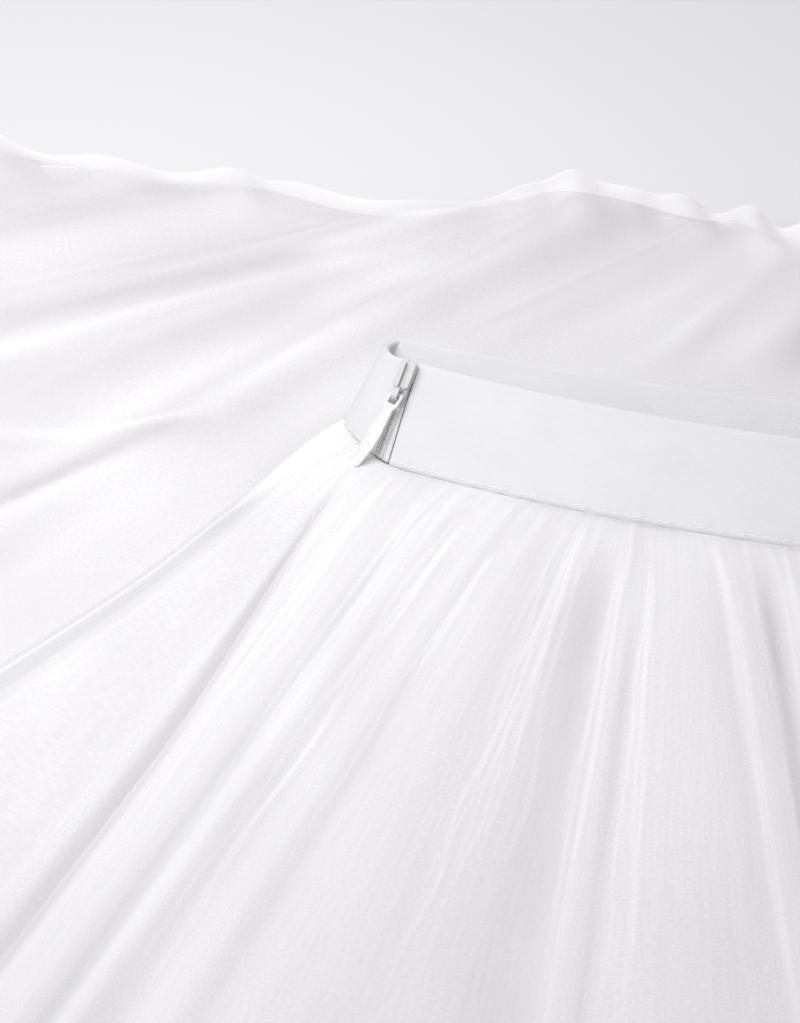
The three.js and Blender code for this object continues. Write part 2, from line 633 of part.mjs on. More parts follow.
// The front piece of the band ends at the zip, and the back piece wraps round the side fold to reach it.
const zipSide = (side) => ({
  seam: ZIP_ARC + (side * ZIP_OPEN_SEAM) / 2,
  opening: ZIP_ARC + (side * ZIP_OPEN_TOP) / 2,
});
const farSide = (side) => ({
  seam: side * (RING_HALF - SEAM_GAP),
  opening: side * (RING_HALF - SEAM_GAP),
});
skirt.add(bandStrip("waistband_front", zipSide(1), farSide(1), bandCloth));
skirt.add(bandStrip("waistband_back", farSide(-1), zipSide(-1), bandCloth));

// The turned-back end's columns, with the side seam below the zip between the two panels.
const zipInMiddle = (ZIP_FROM_FOLD - FOLD_RADIUS) / (WAIST_FLAT - 2 * FOLD_RADIUS);
const SIDE_SEAM = lerp(EDGE_AT_TURN, WAIST_FLAT - EDGE_AT_TURN, zipInMiddle);
const sideCols = [
  ...roundedColumns(4, []).slice(0, 4),
  ...fanColumns(4, EDGE_AT_TURN, SIDE_SEAM - SEAM_GAP / 2),
];
const frontCols = [
  ...fanColumns(64, SIDE_SEAM + SEAM_GAP / 2, WAIST_FLAT - EDGE_AT_TURN),
  ...roundedColumns(4, []).slice(4),
];
skirt.add(turnedPanel("back_tulle_side", sideCols));
skirt.add(turnedPanel("front_tulle", frontCols));
skirt.add(turnedLayers());

const lowerCols = roundedColumns(3, evenly(48));
skirt.add(named("back_tulle", clothWall(lowerFace(lowerCols, ALONGS, 1, 0, 0, TULLE + 1.6), TULLE), net));
skirt.add(lowerLayers());
skirt.add(underSheet());

skirt.add(zipTape());
const zip = zipFrame();
zip.add(zipSlider());
zip.add(zipPull());
skirt.add(zip);

export default skirt;
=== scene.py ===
"""The looks of a white tulle midi skirt that lies folded on a table, its waist end turned back on top.

Lengths are millimetres in the form functions and become metres when a mesh is made.
"""
import math

import bmesh
import bpy
import numpy as np
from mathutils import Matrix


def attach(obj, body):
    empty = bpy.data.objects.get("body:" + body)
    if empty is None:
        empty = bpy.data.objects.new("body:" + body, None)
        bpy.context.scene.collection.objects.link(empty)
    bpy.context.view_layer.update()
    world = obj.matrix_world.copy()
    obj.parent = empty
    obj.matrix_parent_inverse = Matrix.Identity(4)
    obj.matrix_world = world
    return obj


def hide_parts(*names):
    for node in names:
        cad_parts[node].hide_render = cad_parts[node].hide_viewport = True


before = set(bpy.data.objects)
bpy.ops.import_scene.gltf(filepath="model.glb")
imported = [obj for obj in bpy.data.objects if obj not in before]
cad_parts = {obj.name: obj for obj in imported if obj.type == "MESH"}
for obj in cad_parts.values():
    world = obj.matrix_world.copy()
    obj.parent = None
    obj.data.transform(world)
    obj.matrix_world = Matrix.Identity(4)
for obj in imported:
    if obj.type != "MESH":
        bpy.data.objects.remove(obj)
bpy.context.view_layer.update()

MM = 0.001
RAD = math.pi / 180
TAU = 2 * math.pi

# ---- The skirt's sizes, the same as its solids' ----
WAIST_FLAT = 340.0  # the waist, from side fold to side fold
HALF = WAIST_FLAT / 2
BAND_HEIGHT = 32.0
BAND_THICK = 2.2
STITCH_UP = 1.35  # the topstitching, above the seam
SKIRT_LENGTH = 720.0  # below the band
TURN_BACK = 235.0  # from the waist seam to the crest
CREST = 64.0  # height of the turned-back end where it turns over
NOSE_REACH = 28.0  # how far the turn bulges past the crest
NOSE_CLOTH = 82.0  # length of cloth round the turn
BODY_TOP = 36.0  # height of the lower length below the band
HEM_TOP = 11.0
FLOOR_GAP = 0.3
FOLD_RADIUS = 5.0  # of the band's side folds
SEAM_BOW = 23.0  # the waist seam's ends lie this far behind its middle
RING_HALF = WAIST_FLAT - 2 * FOLD_RADIUS + FOLD_RADIUS * math.pi
BAND_END_GAP = 0.4  # between the band's two pieces at the far side fold
ZIP_FROM_FOLD = 10.0
ZIP_ARC = ZIP_FROM_FOLD + FOLD_RADIUS * (math.pi / 2 - 1)
ZIP_OPEN_TOP, ZIP_OPEN_SEAM = 2.6, 6.0
EDGE_AT_TURN = 9.0  # width of the turned-back end's rounded sides at the crest
EDGE_PLACE = 0.04  # share of a length's places that each rounded side takes
SEAM_SHARE = (ZIP_FROM_FOLD - FOLD_RADIUS) / (WAIST_FLAT - 2 * FOLD_RADIUS)  # of the flat middle
SEAM_AT_TURN = EDGE_AT_TURN + SEAM_SHARE * (WAIST_FLAT - 2 * EDGE_AT_TURN)
SIDE_PUFF, PUFF_WIDTH = 5.0, 9.0
NEAR_SHARE = 0.012  # the lower length starts this share of the waist inside the turned-back end
LAYER_END = TURN_BACK - 14
SPLAY_LEFT, SPLAY_RIGHT = -27.0, 20.0  # headings of the lower length's sides, in degrees from +Y
LOWER_LENGTH = SKIRT_LENGTH - TURN_BACK - NOSE_CLOTH
LOWER_WIDTH = 900.0
BODY_EDGE = 42.0  # width of the lower length's rounded sides
FOLD_SINK = 5.0
CUT_AT_WAIST, CUT_AT_HEM = 510.0, 970.0  # a net panel's cut width, before it is gathered


# ---- Small maths ----
def lerp(a, b, t):
    """From a at 0 to b at 1."""
    return a + (b - a) * t


def ease(a, b, v):
    """0 before a, 1 after b, and 3t^2 - 2t^3 between them."""
    t = np.clip((v - a) / (b - a), 0, 1)
    return t * t * (3 - 2 * t)


def bump(off, width):
    """A bell of height 1: e to the minus (off / width) squared."""
    return np.exp(-((off / width) ** 2))


def middle(x):
    """1 in the middle of the waist and 0 at its side folds: 1 - (x / HALF) squared."""
    return 1 - (x / HALF) ** 2


def unit(v):
    """Vectors at length 1."""
    return v / np.maximum(np.linalg.norm(v, axis=-1, keepdims=True), 1e-9)


def grid_normals(points):
    """Unit normals of a grid of points: (step along its columns) x (step along its rows)."""
    across = np.gradient(points, axis=1)
    along = np.gradient(points, axis=0)
    return unit(np.cross(across, along))


def drift(u, v, cell_u, cell_v, seed):
    """Smooth wandering values from 0 to 1: eased steps between random ones on a lattice of cells."""
    wide, tall = 1024, 256
    table = np.random.default_rng(seed).random((wide, tall))
    u, v = u / cell_u + 300, v / cell_v + 60
    i, j = np.floor(u).astype(int), np.floor(v).astype(int)
    s = ease(0, 1, u - i)
    near, far = (lerp(table[i % wide, k % tall], table[(i + 1) % wide, k % tall], s) for k in (j, j + 1))
    return lerp(near, far, ease(0, 1, v - j))


# ---- Form of the waistband ----
def dip_half(x):
    """Half the ring's depth along Y: 8 at the side folds and 14 in the middle."""
    return 8 + 6 * middle(x)


def open_half(x):
    """Half the ring's height: the fold's radius at the side folds and 3 more in the middle."""
    return FOLD_RADIUS + 3 * middle(x)


def band_mid(x):
    """Height of the ring's middle at the seam: 47 at the side folds and 52 in the middle."""
    return 47 + 5 * middle(x)


def drawn_back(x):
    """The zip's end of the band curls back at the seam by this much: a bell round the side fold."""
    return 8 * bump(x + HALF, 8)


def drawn_out(x):
    """The side fold there stands out to the left at the seam by this much, dying away exponentially."""
    return 2.5 * np.exp(-(x + HALF) / 5)


def seam_line_y(x, rise):
    """The waist seam in plan: a parabola that bows by SEAM_BOW, with the front half its depth nearer."""
    return dip_half(0) + SEAM_BOW * (x / HALF) ** 2 - dip_half(x) * rise


def ring_section(arc):
    """Place on the flattened ring: x and rise (1 on the front, -1 on the back) at arc mm from the left fold.

    Quarter circles of the fold's radius at both ends, and a straight stretch between them.
    """
    length = np.abs(arc)
    side = np.where(arc < 0, -1.0, 1.0)
    quarter = FOLD_RADIUS * math.pi / 2
    straight = WAIST_FLAT - 2 * FOLD_RADIUS
    near = np.minimum(length, quarter) / FOLD_RADIUS
    far = math.pi / 2 - np.clip(length - quarter - straight, 0, quarter) / FOLD_RADIUS
    x = np.where(length <= quarter, FOLD_RADIUS * (1 - np.cos(near)), FOLD_RADIUS + length - quarter) - HALF
    x = np.where(length <= quarter + straight, x, HALF - FOLD_RADIUS * (1 - np.cos(far)))
    past = np.where(length <= quarter + straight, 1.0, np.sin(far))
    return x, side * np.where(length <= quarter, np.sin(near), past)


def band_point(arc, share):
    """Outer point of the band: the ring's place at the seam, plus share of the band's height up its slope."""
    x, rise = ring_section(arc)
    slope = 2 * SEAM_BOW * x / HALF**2
    raised = (24 - 5 * middle(x)) * RAD
    flat = np.hypot(slope, 1)
    away = np.stack([-slope / flat * np.cos(raised), np.cos(raised) / flat, np.sin(raised) + 0 * x], -1)
    y = seam_line_y(x, rise) + drawn_back(x) * (1 - share)
    foot = np.stack([x - drawn_out(x) * (1 - share), y, band_mid(x) + open_half(x) * rise], -1)
    return foot + away * (BAND_HEIGHT * share)[..., None]


# ---- Form of the turned-back end ----
# Headings of the cloth at the waist seam: (mm from the left side fold, degrees from -Y).
FAN = np.array([
    (0, -44), (4, -40), (10, -25), (16, -22), (40, -23), (58, -21), (82, -5), (104, 8), (140, 11), (185, 8),
    (225, 12), (265, 21), (300, 20), (326, 25), (334, 34), (340, 40),
], float)
FAN_LEFT, FAN_RIGHT = FAN[0, 1], FAN[-1, 1]


def fan_heading(at):
    """The fan's headings, eased from one row to the next, in radians."""
    at = np.asarray(at, float)
    after = np.clip(np.searchsorted(FAN[:, 0], at), 1, len(FAN) - 1)
    return lerp(FAN[after - 1, 1], FAN[after, 1], ease(FAN[after - 1, 0], FAN[after, 0], at)) * RAD


def fan_plan(across, reach, rise=1.0):
    """Plan of the fan: straight out from the seam at its heading, swollen sideways past the side folds."""
    x = lerp(-HALF, HALF, across)
    heading = fan_heading(across * WAIST_FLAT)
    start = seam_line_y(x, rise) + drawn_back(x) * np.exp(-reach / 40)
    swell = np.exp((x - HALF) / PUFF_WIDTH) - np.exp(-(x + HALF) / PUFF_WIDTH)
    puff = SIDE_PUFF * swell * (1 - np.exp(-reach / 12)) - drawn_out(x) * np.exp(-reach / 20)
    return x + puff + reach * np.sin(heading), start - reach * np.cos(heading)


def opened(at, reach):
    """How many times wider than at the seam the cloth is, from the headings on both sides of a line."""
    return 1 + reach * (np.sin(fan_heading(at + 2)) - np.sin(fan_heading(at - 2))) / 4


def wander(across):
    """How far the crest strays from its line: the sum of two sines across the cloth."""
    return 6 * np.sin(across * 8.5 + 0.4) + 3 * np.sin(across * 19 + 2)


def side_height(reach):
    """The side folds sink from the band's middle to just above the lower length."""
    return lerp(band_mid(HALF), BODY_TOP + 0.9, ease(0, 34, reach))


def top_height(x, reach):
    """The gathers stand up past the seam, less below the zip's end, and then rise or sink to the crest."""
    seam = band_mid(x) + open_half(x)
    puffed = (9 - 7.5 * np.exp(-(x + HALF) / 14)) * (1 - np.exp(-reach / 17))
    return lerp(seam + puffed, CREST, ease(40, TURN_BACK, reach))


def edge_share(reach):
    """Width of the turned-back end's rounded side, as a share of the waist."""
    return lerp(FOLD_RADIUS, EDGE_AT_TURN, ease(0, 120, reach)) / WAIST_FLAT


def rounded_across(place, edge):
    """Share across and rise for a place from 0 to 1: quarter ellipses over both sides, flat between."""
    outer = np.minimum(place, 1 - place)
    turn = np.clip(outer / EDGE_PLACE, 0, 1) * math.pi / 2
    from_side = np.where(
        outer < EDGE_PLACE,
        edge * (1 - np.cos(turn)),
        lerp(edge, 0.5, (outer - EDGE_PLACE) / (0.5 - EDGE_PLACE)),
    )
    return np.where(place < 0.5, from_side, 1 - from_side), np.sin(turn)


def drawn_in(across, reach):
    """The side below the zip is drawn inwards: a bell along it, dying away exponentially across."""
    return 4 * bump(reach - 30, 26) * np.exp(-across * WAIST_FLAT / 5)


def turned_surface(place, reach, turn, inset, left_inset=0.0):
    """The smooth turned-back end: across by place, from the seam by reach, then over the nose by turn.

    The nose is a half ellipse from the crest down to the surface. inset draws the whole face inwards, and
    left_inset its left side further. Before the seam the face sinks under the band's edge.
    """
    across, rise = rounded_across(place, edge_share(reach))
    across = lerp((inset + left_inset) / WAIST_FLAT, 1 - inset / WAIST_FLAT, across)
    x = lerp(-HALF, HALF, across)
    top = lerp(side_height(reach), top_height(x, reach), rise) - inset * rise
    further = wander(across) * ease(90, TURN_BACK, reach)
    angle = math.pi / 2 - turn * math.pi
    foot = FLOOR_GAP + inset
    bulge = np.where(turn > 0, (NOSE_REACH - inset) * np.cos(angle), 0)
    px, py = fan_plan(across, reach + further + bulge, rise)
    z = np.where(turn > 0, foot + (top - foot) / 2 * (1 + np.sin(angle)), top)
    z = z - 1.2 * rise * (1 - ease(-1.6, 1.2, reach))
    return np.stack([px - drawn_in(across, reach), py, z], -1), across, rise


# ---- Form of the lower length ----
def clear_of_turned_end(x, y):
    """How far a place lies outside the turned-back end and the band, in plan."""
    seam_end = dip_half(0) + SEAM_BOW
    left = -(x + HALF) * math.cos(FAN_LEFT * RAD) + (y - seam_end) * math.sin(-FAN_LEFT * RAD)
    right = (x - HALF) * math.cos(FAN_RIGHT * RAD) + (y - seam_end) * math.sin(FAN_RIGHT * RAD)
    return np.maximum(np.maximum(left, right) - SIDE_PUFF, y - seam_end - BAND_HEIGHT - 8)


# Ridges across the lower length: where each crosses y = 0, its heading from +X, its height and half width.
DRAG_FOLDS = [
    (-520, 30, 5, 24), (-409, 33, 7, 26), (-338, 40, 5, 20), (-269, 46, 8, 17), (-228, 46, 6, 15),
    (-190, 49, 4, 14), (-155, 52, 7, 15), (-110, 60, 6, 17), (-62, 62, 7, 20), (-4, 65, 6, 20),
    (52, 69, 7, 22), (118, 72, 5, 24), (188, 78, 7, 25), (262, 86, 6, 27), (340, 96, 5, 28),
    (425, 108, 6, 30),
]


def lower_top(x, y):
    """Top of the lower length, sinking to the hem, with its drag folds; and how free it lies, 0 to 1."""
    free = ease(3, 34, clear_of_turned_end(x, y))
    folds = 0
    for cross_x, heading, height, width in DRAG_FOLDS:
        off = (x - cross_x) * math.sin(heading * RAD) - y * math.cos(heading * RAD)
        folds = folds + height * np.exp(-2 * (off / width) ** 2)
    return lerp(BODY_TOP, HEM_TOP + 4, ease(70, 190, y)) + (folds - FOLD_SINK) * free, free


def lower_plan(across, along, near_reach=LAYER_END - 3.5, longer=0.0):
    """Plan of the lower length: straight from the turn at its splayed headings, to a hem that waves."""
    nx, ny = fan_plan(lerp(NEAR_SHARE, 1 - NEAR_SHARE, across), near_reach)
    heading = lerp(SPLAY_LEFT, SPLAY_RIGHT, across) * RAD
    wave = 9 * np.sin(across * 7 + 0.6) + 5 * np.sin(across * 41) + 3 * np.sin(across * 83 + 1)
    length = (LOWER_LENGTH + wave + longer) * along
    return nx + length * np.sin(heading), ny + length * np.cos(heading)


# ---- Meshes ----
def spaced(*stops):
    """Rising values: each stop is (value, steps from the one before)."""
    values = [np.array([stops[0][0]], float)]
    for (before, _), (value, steps) in zip(stops, stops[1:]):
        values.append(np.linspace(before, value, steps + 1)[1:])
    return np.concatenate(values)


def add_piece(name, points, faces, finish, smooth=True):
    """An object at the origin, from points in millimetres."""
    mesh = bpy.data.meshes.new(name)
    mesh.from_pydata(points.reshape(-1, 3) * MM, [], faces)
    mesh.polygons.foreach_set("use_smooth", np.full(len(mesh.polygons), smooth))
    mesh.update()
    mesh.materials.append(finish)
    piece = bpy.data.objects.new(name, mesh)
    bpy.context.scene.collection.objects.link(piece)
    return piece


def grid_faces(rows, cols, wrap_cols=False):
    """Quads of a grid whose columns may close on themselves, wound for (columns) x (rows)."""
    r, c = np.meshgrid(np.arange(rows - 1), np.arange(cols if wrap_cols else cols - 1), indexing="ij")
    c2 = (c + 1) % cols
    quads = np.stack([r * cols + c, r * cols + c2, (r + 1) * cols + c2, (r + 1) * cols + c], -1)
    return quads.reshape(-1, 4)


def grid_border(rows, cols):
    """The numbers of a grid's border points, once round."""
    ids = np.arange(rows * cols).reshape(rows, cols)
    return np.concatenate([ids[0, :-1], ids[:-1, -1], ids[-1, 1:][::-1], ids[1:, 0][::-1]])


def put_uv(piece, uv):
    """A UV map in millimetres of cloth, from one pair for each vertex."""
    mesh = piece.data
    corner = np.empty(len(mesh.loops), np.int32)
    mesh.loops.foreach_get("vertex_index", corner)
    uv = uv.reshape(-1, 2)[corner].astype(np.float32)
    mesh.uv_layers.new(name="cloth").data.foreach_set("uv", uv.ravel())


def open_sheet(name, points, uv, cover, finish):
    """A single sheet of net from a grid of points, with its cloth coordinates and how much it covers."""
    piece = add_piece(name, points, grid_faces(*points.shape[:2]).tolist(), finish)
    put_uv(piece, uv)
    layer = piece.data.attributes.new("cover", "FLOAT", "POINT")
    layer.data.foreach_set("value", cover.astype(np.float32).ravel())
    return piece


def closed_pair(name, top, bottom, finish, loops=()):
    """A closed solid between two grids with the same rows and columns, its border passing through loops."""
    rows, cols = top.shape[:2]
    count = rows * cols
    border = grid_border(rows, cols)
    faces = [grid_faces(rows, cols), grid_faces(rows, cols)[:, ::-1] + count]
    between = [2 * count + n * len(border) + np.arange(len(border)) for n in range(len(loops))]
    chain = [border, *between, border + count]
    for upper, lower in zip(chain, chain[1:]):
        faces.append(np.stack([upper, lower, np.roll(lower, -1), np.roll(upper, -1)], -1))
    points = np.concatenate([top.reshape(-1, 3), bottom.reshape(-1, 3), *loops])
    return add_piece(name, points, np.concatenate(faces).tolist(), finish)


# ---- Shader maths ----
class Value:
    """A number that varies over a surface. Python maths on it adds Math nodes."""

    def __init__(self, finish, socket):
        self.finish, self.socket = finish, socket

    def maths(self, operation, *operands):
        return self.finish.node("ShaderNodeMath", {"operation": operation}, *operands).out("Value")

    def __add__(self, other):
        return self.maths("ADD", self, other)

    def __sub__(self, other):
        return self.maths("SUBTRACT", self, other)

    def __rsub__(self, other):
        return self.maths("SUBTRACT", other, self)

    def __mul__(self, other):
        return self.maths("MULTIPLY", self, other)

    __radd__ = __add__
    __rmul__ = __mul__

    def sine(self):
        return self.maths("SINE", self)

    def smooth(self, low, high):
        """0 below low and 1 above high, smooth between."""
        settings = {"interpolation_type": "SMOOTHSTEP"}
        return self.finish.node("ShaderNodeMapRange", settings, self, low, high, 0.0, 1.0).out("Result")


class Node:
    """A node of a finish, whose outputs are taken by name."""

    def __init__(self, finish, node):
        self.finish, self.node = finish, node

    def out(self, name):
        return Value(self.finish, self.node.outputs[name])


class Finish:
    """A material and its node tree."""

    def __init__(self, name, roughness, **constants):
        self.material = bpy.data.materials.new(name)
        self.material.use_nodes = True
        self.tree = self.material.node_tree
        self.shader = self.tree.nodes["Principled BSDF"]
        self.set("Roughness", roughness)
        for socket, value in constants.items():
            self.set(socket.replace("_", " "), value)

    def node(self, kind, settings=None, *inputs, **named):
        """Adds a node: its settings first, then its sockets in order, then those given by name."""
        node = self.tree.nodes.new(kind)
        for key, value in (settings or {}).items():
            setattr(node, key, value)
        for socket, value in zip(node.inputs, inputs):
            self.plug(socket, value)
        for key, value in named.items():
            self.plug(node.inputs[key.replace("_", " ")], value)
        return Node(self, node)

    def plug(self, socket, value):
        if isinstance(value, Value):
            self.tree.links.new(value.socket, socket)
        else:
            socket.default_value = value

    def set(self, socket, value):
        self.plug(self.shader.inputs[socket], value)

    def place(self):
        """Object coordinates, in metres."""
        return self.node("ShaderNodeTexCoord").out("Object")

    def cloth(self):
        """The piece's own cloth coordinates, in millimetres."""
        return self.node("ShaderNodeUVMap", {"uv_map": "cloth"}).out("UV")

    def cover(self):
        """How much the net covers here, from the mesh's own values."""
        return self.node("ShaderNodeAttribute", {"attribute_name": "cover"}).out("Fac")

    def parts(self, vector):
        split = self.node("ShaderNodeSeparateXYZ", {}, vector)
        return [split.out(axis) for axis in "XYZ"]

    def noise(self, vector, scale, detail, flat=False):
        """Noise from 0 to 1, with so many cells to the vector's unit along each axis."""
        cells = self.node("ShaderNodeMapping", {}, Vector=vector, Scale=scale).out("Vector")
        settings = {"noise_dimensions": "2D" if flat else "3D"}
        return self.node("ShaderNodeTexNoise", settings, Vector=cells, Scale=1.0, Detail=detail).out("Fac")

    def blend(self, factor, first, second):
        """Between two colours, which are sockets 6 and 7 of a Mix node, and its output 2."""
        node = self.node("ShaderNodeMix", {"data_type": "RGBA"})
        self.plug(node.node.inputs["Factor"], factor)
        self.plug(node.node.inputs[6], first)
        self.plug(node.node.inputs[7], second)
        return Value(self, node.node.outputs[2])

    def raised(self, height, distance, strength):
        """A bump whose height of 1 stands up by a distance in metres."""
        bumped = self.node("ShaderNodeBump", {}, Strength=strength, Distance=distance, Height=height)
        self.set("Normal", bumped.out("Normal"))


# ---- Finishes ----
def grey(level, blue=0.0):
    """A nearly white colour, a little bluer by so much."""
    return level, level, level + blue, 1


def band_finish():
    """Smooth white band cloth: a fine twill of two crossed sine waves, faint slubs and a soft sheen."""
    finish = Finish("band_cloth", 0.62, Sheen_Weight=0.25, Sheen_Roughness=0.45, Specular_IOR_Level=0.35)
    cloth = finish.cloth()
    along, up, _ = finish.parts(cloth)
    twill = (along * (TAU / 1.1) + up * (TAU / 0.7)).sine() * 0.5 + (up * (TAU / 0.9)).sine() * 0.3
    slub = finish.noise(cloth, (0.35, 1.6, 1), 3.0)
    cloud = finish.noise(cloth, (0.05, 0.07, 1), 3.0)
    mottle = (cloud * 0.6 + slub * 0.4).smooth(0.3, 0.7)
    finish.set("Base Color", finish.blend(mottle, (0.732, 0.73, 0.757, 1), (0.772, 0.769, 0.792, 1)))
    finish.set("Roughness", slub * 0.12 + 0.56)
    finish.raised(twill * 0.5 + slub * 1.2 + cloud * 3, 0.0001, 0.5)
    return finish.material


def net_finish(name, drawn, pale):
    """Soft net: its cover comes from the folds, broken by a fine grain and by hairlines along the cloth."""
    finish = Finish(name, 0.8, Sheen_Weight=0.25, Sheen_Roughness=0.5, Specular_IOR_Level=0.1)
    cloth = finish.cloth()
    grain = finish.noise(cloth, (1.5, 1.5, 1), 1.0, flat=True)
    hairs = finish.noise(cloth, (1.5, 0.06, 1), 1.0, flat=True)
    finish.set("Alpha", finish.cover() * (grain * 0.22 + hairs * drawn + (0.9 - drawn / 2)))
    finish.set("Base Color", (pale, pale * 0.996, pale * 1.015, 1))
    finish.raised(grain * 0.5 + hairs * drawn * 3, 0.00012, 0.5)
    return finish.material


def lining_finish():
    """Opaque soft lining, clouded, with a fine weave; its grey is painted shade of the layers that lie
    shadowed under the net.
    """
    finish = Finish("lining", 0.7, Sheen_Weight=0.2, Specular_IOR_Level=0.25)
    place = finish.place()
    soft = finish.noise(place, (60, 60, 60), 4.0)
    weave = finish.noise(place, (1500, 1500, 1500), 2.0)
    mottle = soft.smooth(0.3, 0.7)
    # Both greys are darker than the white cloth: painted shade for the shadowed layers seen through the net.
    finish.set("Base Color", finish.blend(mottle, (0.74, 0.73, 0.76, 1), (0.79, 0.78, 0.81, 1)))
    finish.raised(soft * 3 + weave * 0.3, 0.0002, 0.6)
    return finish.material


def enamel_finish(name, pale):
    """White enamel on the zip's metal, faintly clouded and rippled."""
    finish = Finish(name, 0.3, Specular_IOR_Level=0.5, Coat_Roughness=0.12)
    place = finish.place()
    cloud = finish.noise(place, (700, 700, 700), 3.0)
    ripple = finish.noise(place, (350, 350, 350), 2.0)
    finish.set("Base Color", finish.blend(cloud.smooth(0.3, 0.7), grey(pale), grey(pale + 0.06, -0.01)))
    finish.set("Roughness", cloud * 0.2 + 0.2)
    finish.set("Coat Weight", ripple * 0.4 + 0.2)
    finish.raised(ripple + cloud * 0.4, 0.0001, 0.35)
    return finish.material


def tape_finish():
    """Zip tape: a close herringbone of two sine waves."""
    finish = Finish("zip_tape", 0.8)
    x, y, _ = finish.parts(finish.place())
    rib = ((x + y) * (TAU / 0.0006)).sine() + ((x - y) * (TAU / 0.0009)).sine()
    finish.set("Base Color", finish.blend(rib.smooth(-1.5, 1.5), grey(0.8, 0.02), grey(0.88, 0.02)))
    finish.raised(rib, 0.00002, 0.5)
    return finish.material


def thread_finish():
    """White sewing thread, its twist a fine slanted sine."""
    finish = Finish("thread", 0.55, Sheen_Weight=0.3)
    x, y, z = finish.parts(finish.place())
    finish.set("Base Color", grey(0.92, 0.01))
    finish.raised(((x * 0.8 + y + z) * (TAU / 0.00035)).sine(), 0.00002, 0.6)
    return finish.material


def coil_finish():
    """Pale nylon of the zip's coil, a little mottled."""
    finish = Finish("coil", 0.35, Specular_IOR_Level=0.5)
    mottle = finish.noise(finish.place(), (1200, 1200, 1200), 2.0)
    finish.set("Base Color", finish.blend(mottle.smooth(0.35, 0.65), grey(0.8), grey(0.9)))
    return finish.material


# ---- The waistband ----
def band_wrinkle(arc, share):
    """Small waves of the outer face: puckers that die away from the seam, and slow hollows all over."""
    up = share * BAND_HEIGHT
    pucker = np.sin(arc * TAU / 9.3 + 1.3 * np.sin(arc / 7.1))
    pucker = pucker + 0.7 * np.sin(arc * TAU / 5.7 + np.sin(arc / 4.3))
    slow = np.sin(arc / 13 + up / 14) + np.sin(arc / 29 - up / 9 + 1) + 0.6 * np.sin(arc / 7.7 - up / 5.5)
    stitched = -0.25 * bump(up - STITCH_UP, 0.5)
    roll = 0.25 * bump(up - BAND_HEIGHT, 3.0) - 0.35 * np.exp(-up / 0.9)
    return 0.1 * pucker * np.exp(-up / 3.0) + 0.07 * slow + stitched + roll


def band_frame(arc, share):
    """Point, direction along the band, direction up it and outward normal."""
    step = 0.2
    point = band_point(arc, share)
    along = unit(band_point(arc + step, share) - band_point(arc - step, share))
    up = band_point(arc, share + 0.01) - band_point(arc, share - 0.01)
    out = unit(np.cross(along, up))
    return point, along, unit(np.cross(out, along)), out


def band_piece(name, start, end, steps, finish):
    """A strip of band: a rounded strip section carried along the ring, its ends rounded to a thin edge.

    start and end are (arc at the seam, arc at the opening).
    """
    radius = BAND_THICK / 2
    turn = np.linspace(math.pi / 2, -math.pi / 2, 7)[1:-1]
    flat = np.linspace(radius, BAND_HEIGHT - radius, 30)
    bulge, across = radius * np.cos(turn), radius * np.sin(turn)
    up = np.concatenate([flat, BAND_HEIGHT - radius + bulge, flat[::-1], radius - bulge])
    depth = np.concatenate([flat * 0, radius - across, flat * 0 + BAND_THICK, radius + across])
    ends = radius * (1 - np.cos(np.linspace(0, math.pi / 2, 6)))
    length = end[0] - start[0]
    runs = np.concatenate([ends, np.linspace(radius, length - radius, steps)[1:-1], length - ends[::-1]])
    t, up2 = np.meshgrid(runs / length, up, indexing="ij")
    share = up2 / BAND_HEIGHT
    arc = lerp(lerp(start[0], start[1], share), lerp(end[0], end[1], share), t)
    from_end = np.minimum(runs, length - runs)
    half = np.sqrt(np.maximum(radius**2 - np.clip(radius - from_end, 0, radius) ** 2, 0.0004))[:, None]
    point, _, _, out = band_frame(arc, share)
    outer = np.where(depth < radius, 1, 0)[None, :] * np.clip(from_end / 2.5, 0, 1)[:, None]
    sink = radius + (depth[None, :] - radius) * half / radius - band_wrinkle(arc, share) * outer
    points = point - out * sink[..., None]
    rows, cols = points.shape[:2]
    faces = grid_faces(rows, cols, wrap_cols=True)[:, ::-1].tolist()
    faces += [list(range(cols)), list(range((rows - 1) * cols, rows * cols))[::-1]]
    piece = add_piece(name, points, faces, finish)
    put_uv(piece, np.stack([arc, up2], -1))
    return piece


def topstitching(finish):
    """Stitches along both faces of the band: capsules carried to even places along the ring, just proud."""
    pitch, length, radius, proud = 2.9, 2.2, 0.17, 0.1
    places = np.concatenate([
        np.arange(ZIP_ARC + 4, RING_HALF - 2, pitch), np.arange(-RING_HALF + 2, ZIP_ARC - 4, pitch),
    ])
    around = np.linspace(0, TAU, 7)[:-1]
    along = np.array([-0.5, -0.42, 0, 0.42, 0.5]) * length
    thick = np.array([0.25, 0.85, 1, 0.85, 0.25])[:, None] * radius
    rings, sides = len(along), len(around)
    share = np.full_like(places, STITCH_UP / BAND_HEIGHT)
    point, run, up, out = band_frame(places, share)
    point = point + out * (band_wrinkle(places, share) + proud)[:, None]
    a, r = np.meshgrid(along, around, indexing="ij")
    local = [a, np.cos(r) * thick, np.sin(r) * thick - proud * (2 * a / length) ** 2]
    points = sum(axis[:, None, None, :] * part[None, ..., None] for axis, part in zip((run, up, out), local))
    points = points + point[:, None, None, :]
    quads = grid_faces(rings, sides, wrap_cols=True)[:, ::-1]
    count = rings * sides
    faces = (quads[None] + np.arange(len(places))[:, None, None] * count).reshape(-1, 4).tolist()
    for start in range(0, len(places) * count, count):
        faces += [list(range(start, start + sides)), list(range(start + count - sides, start + count))[::-1]]
    return add_piece("band_stitches", points, faces, finish)


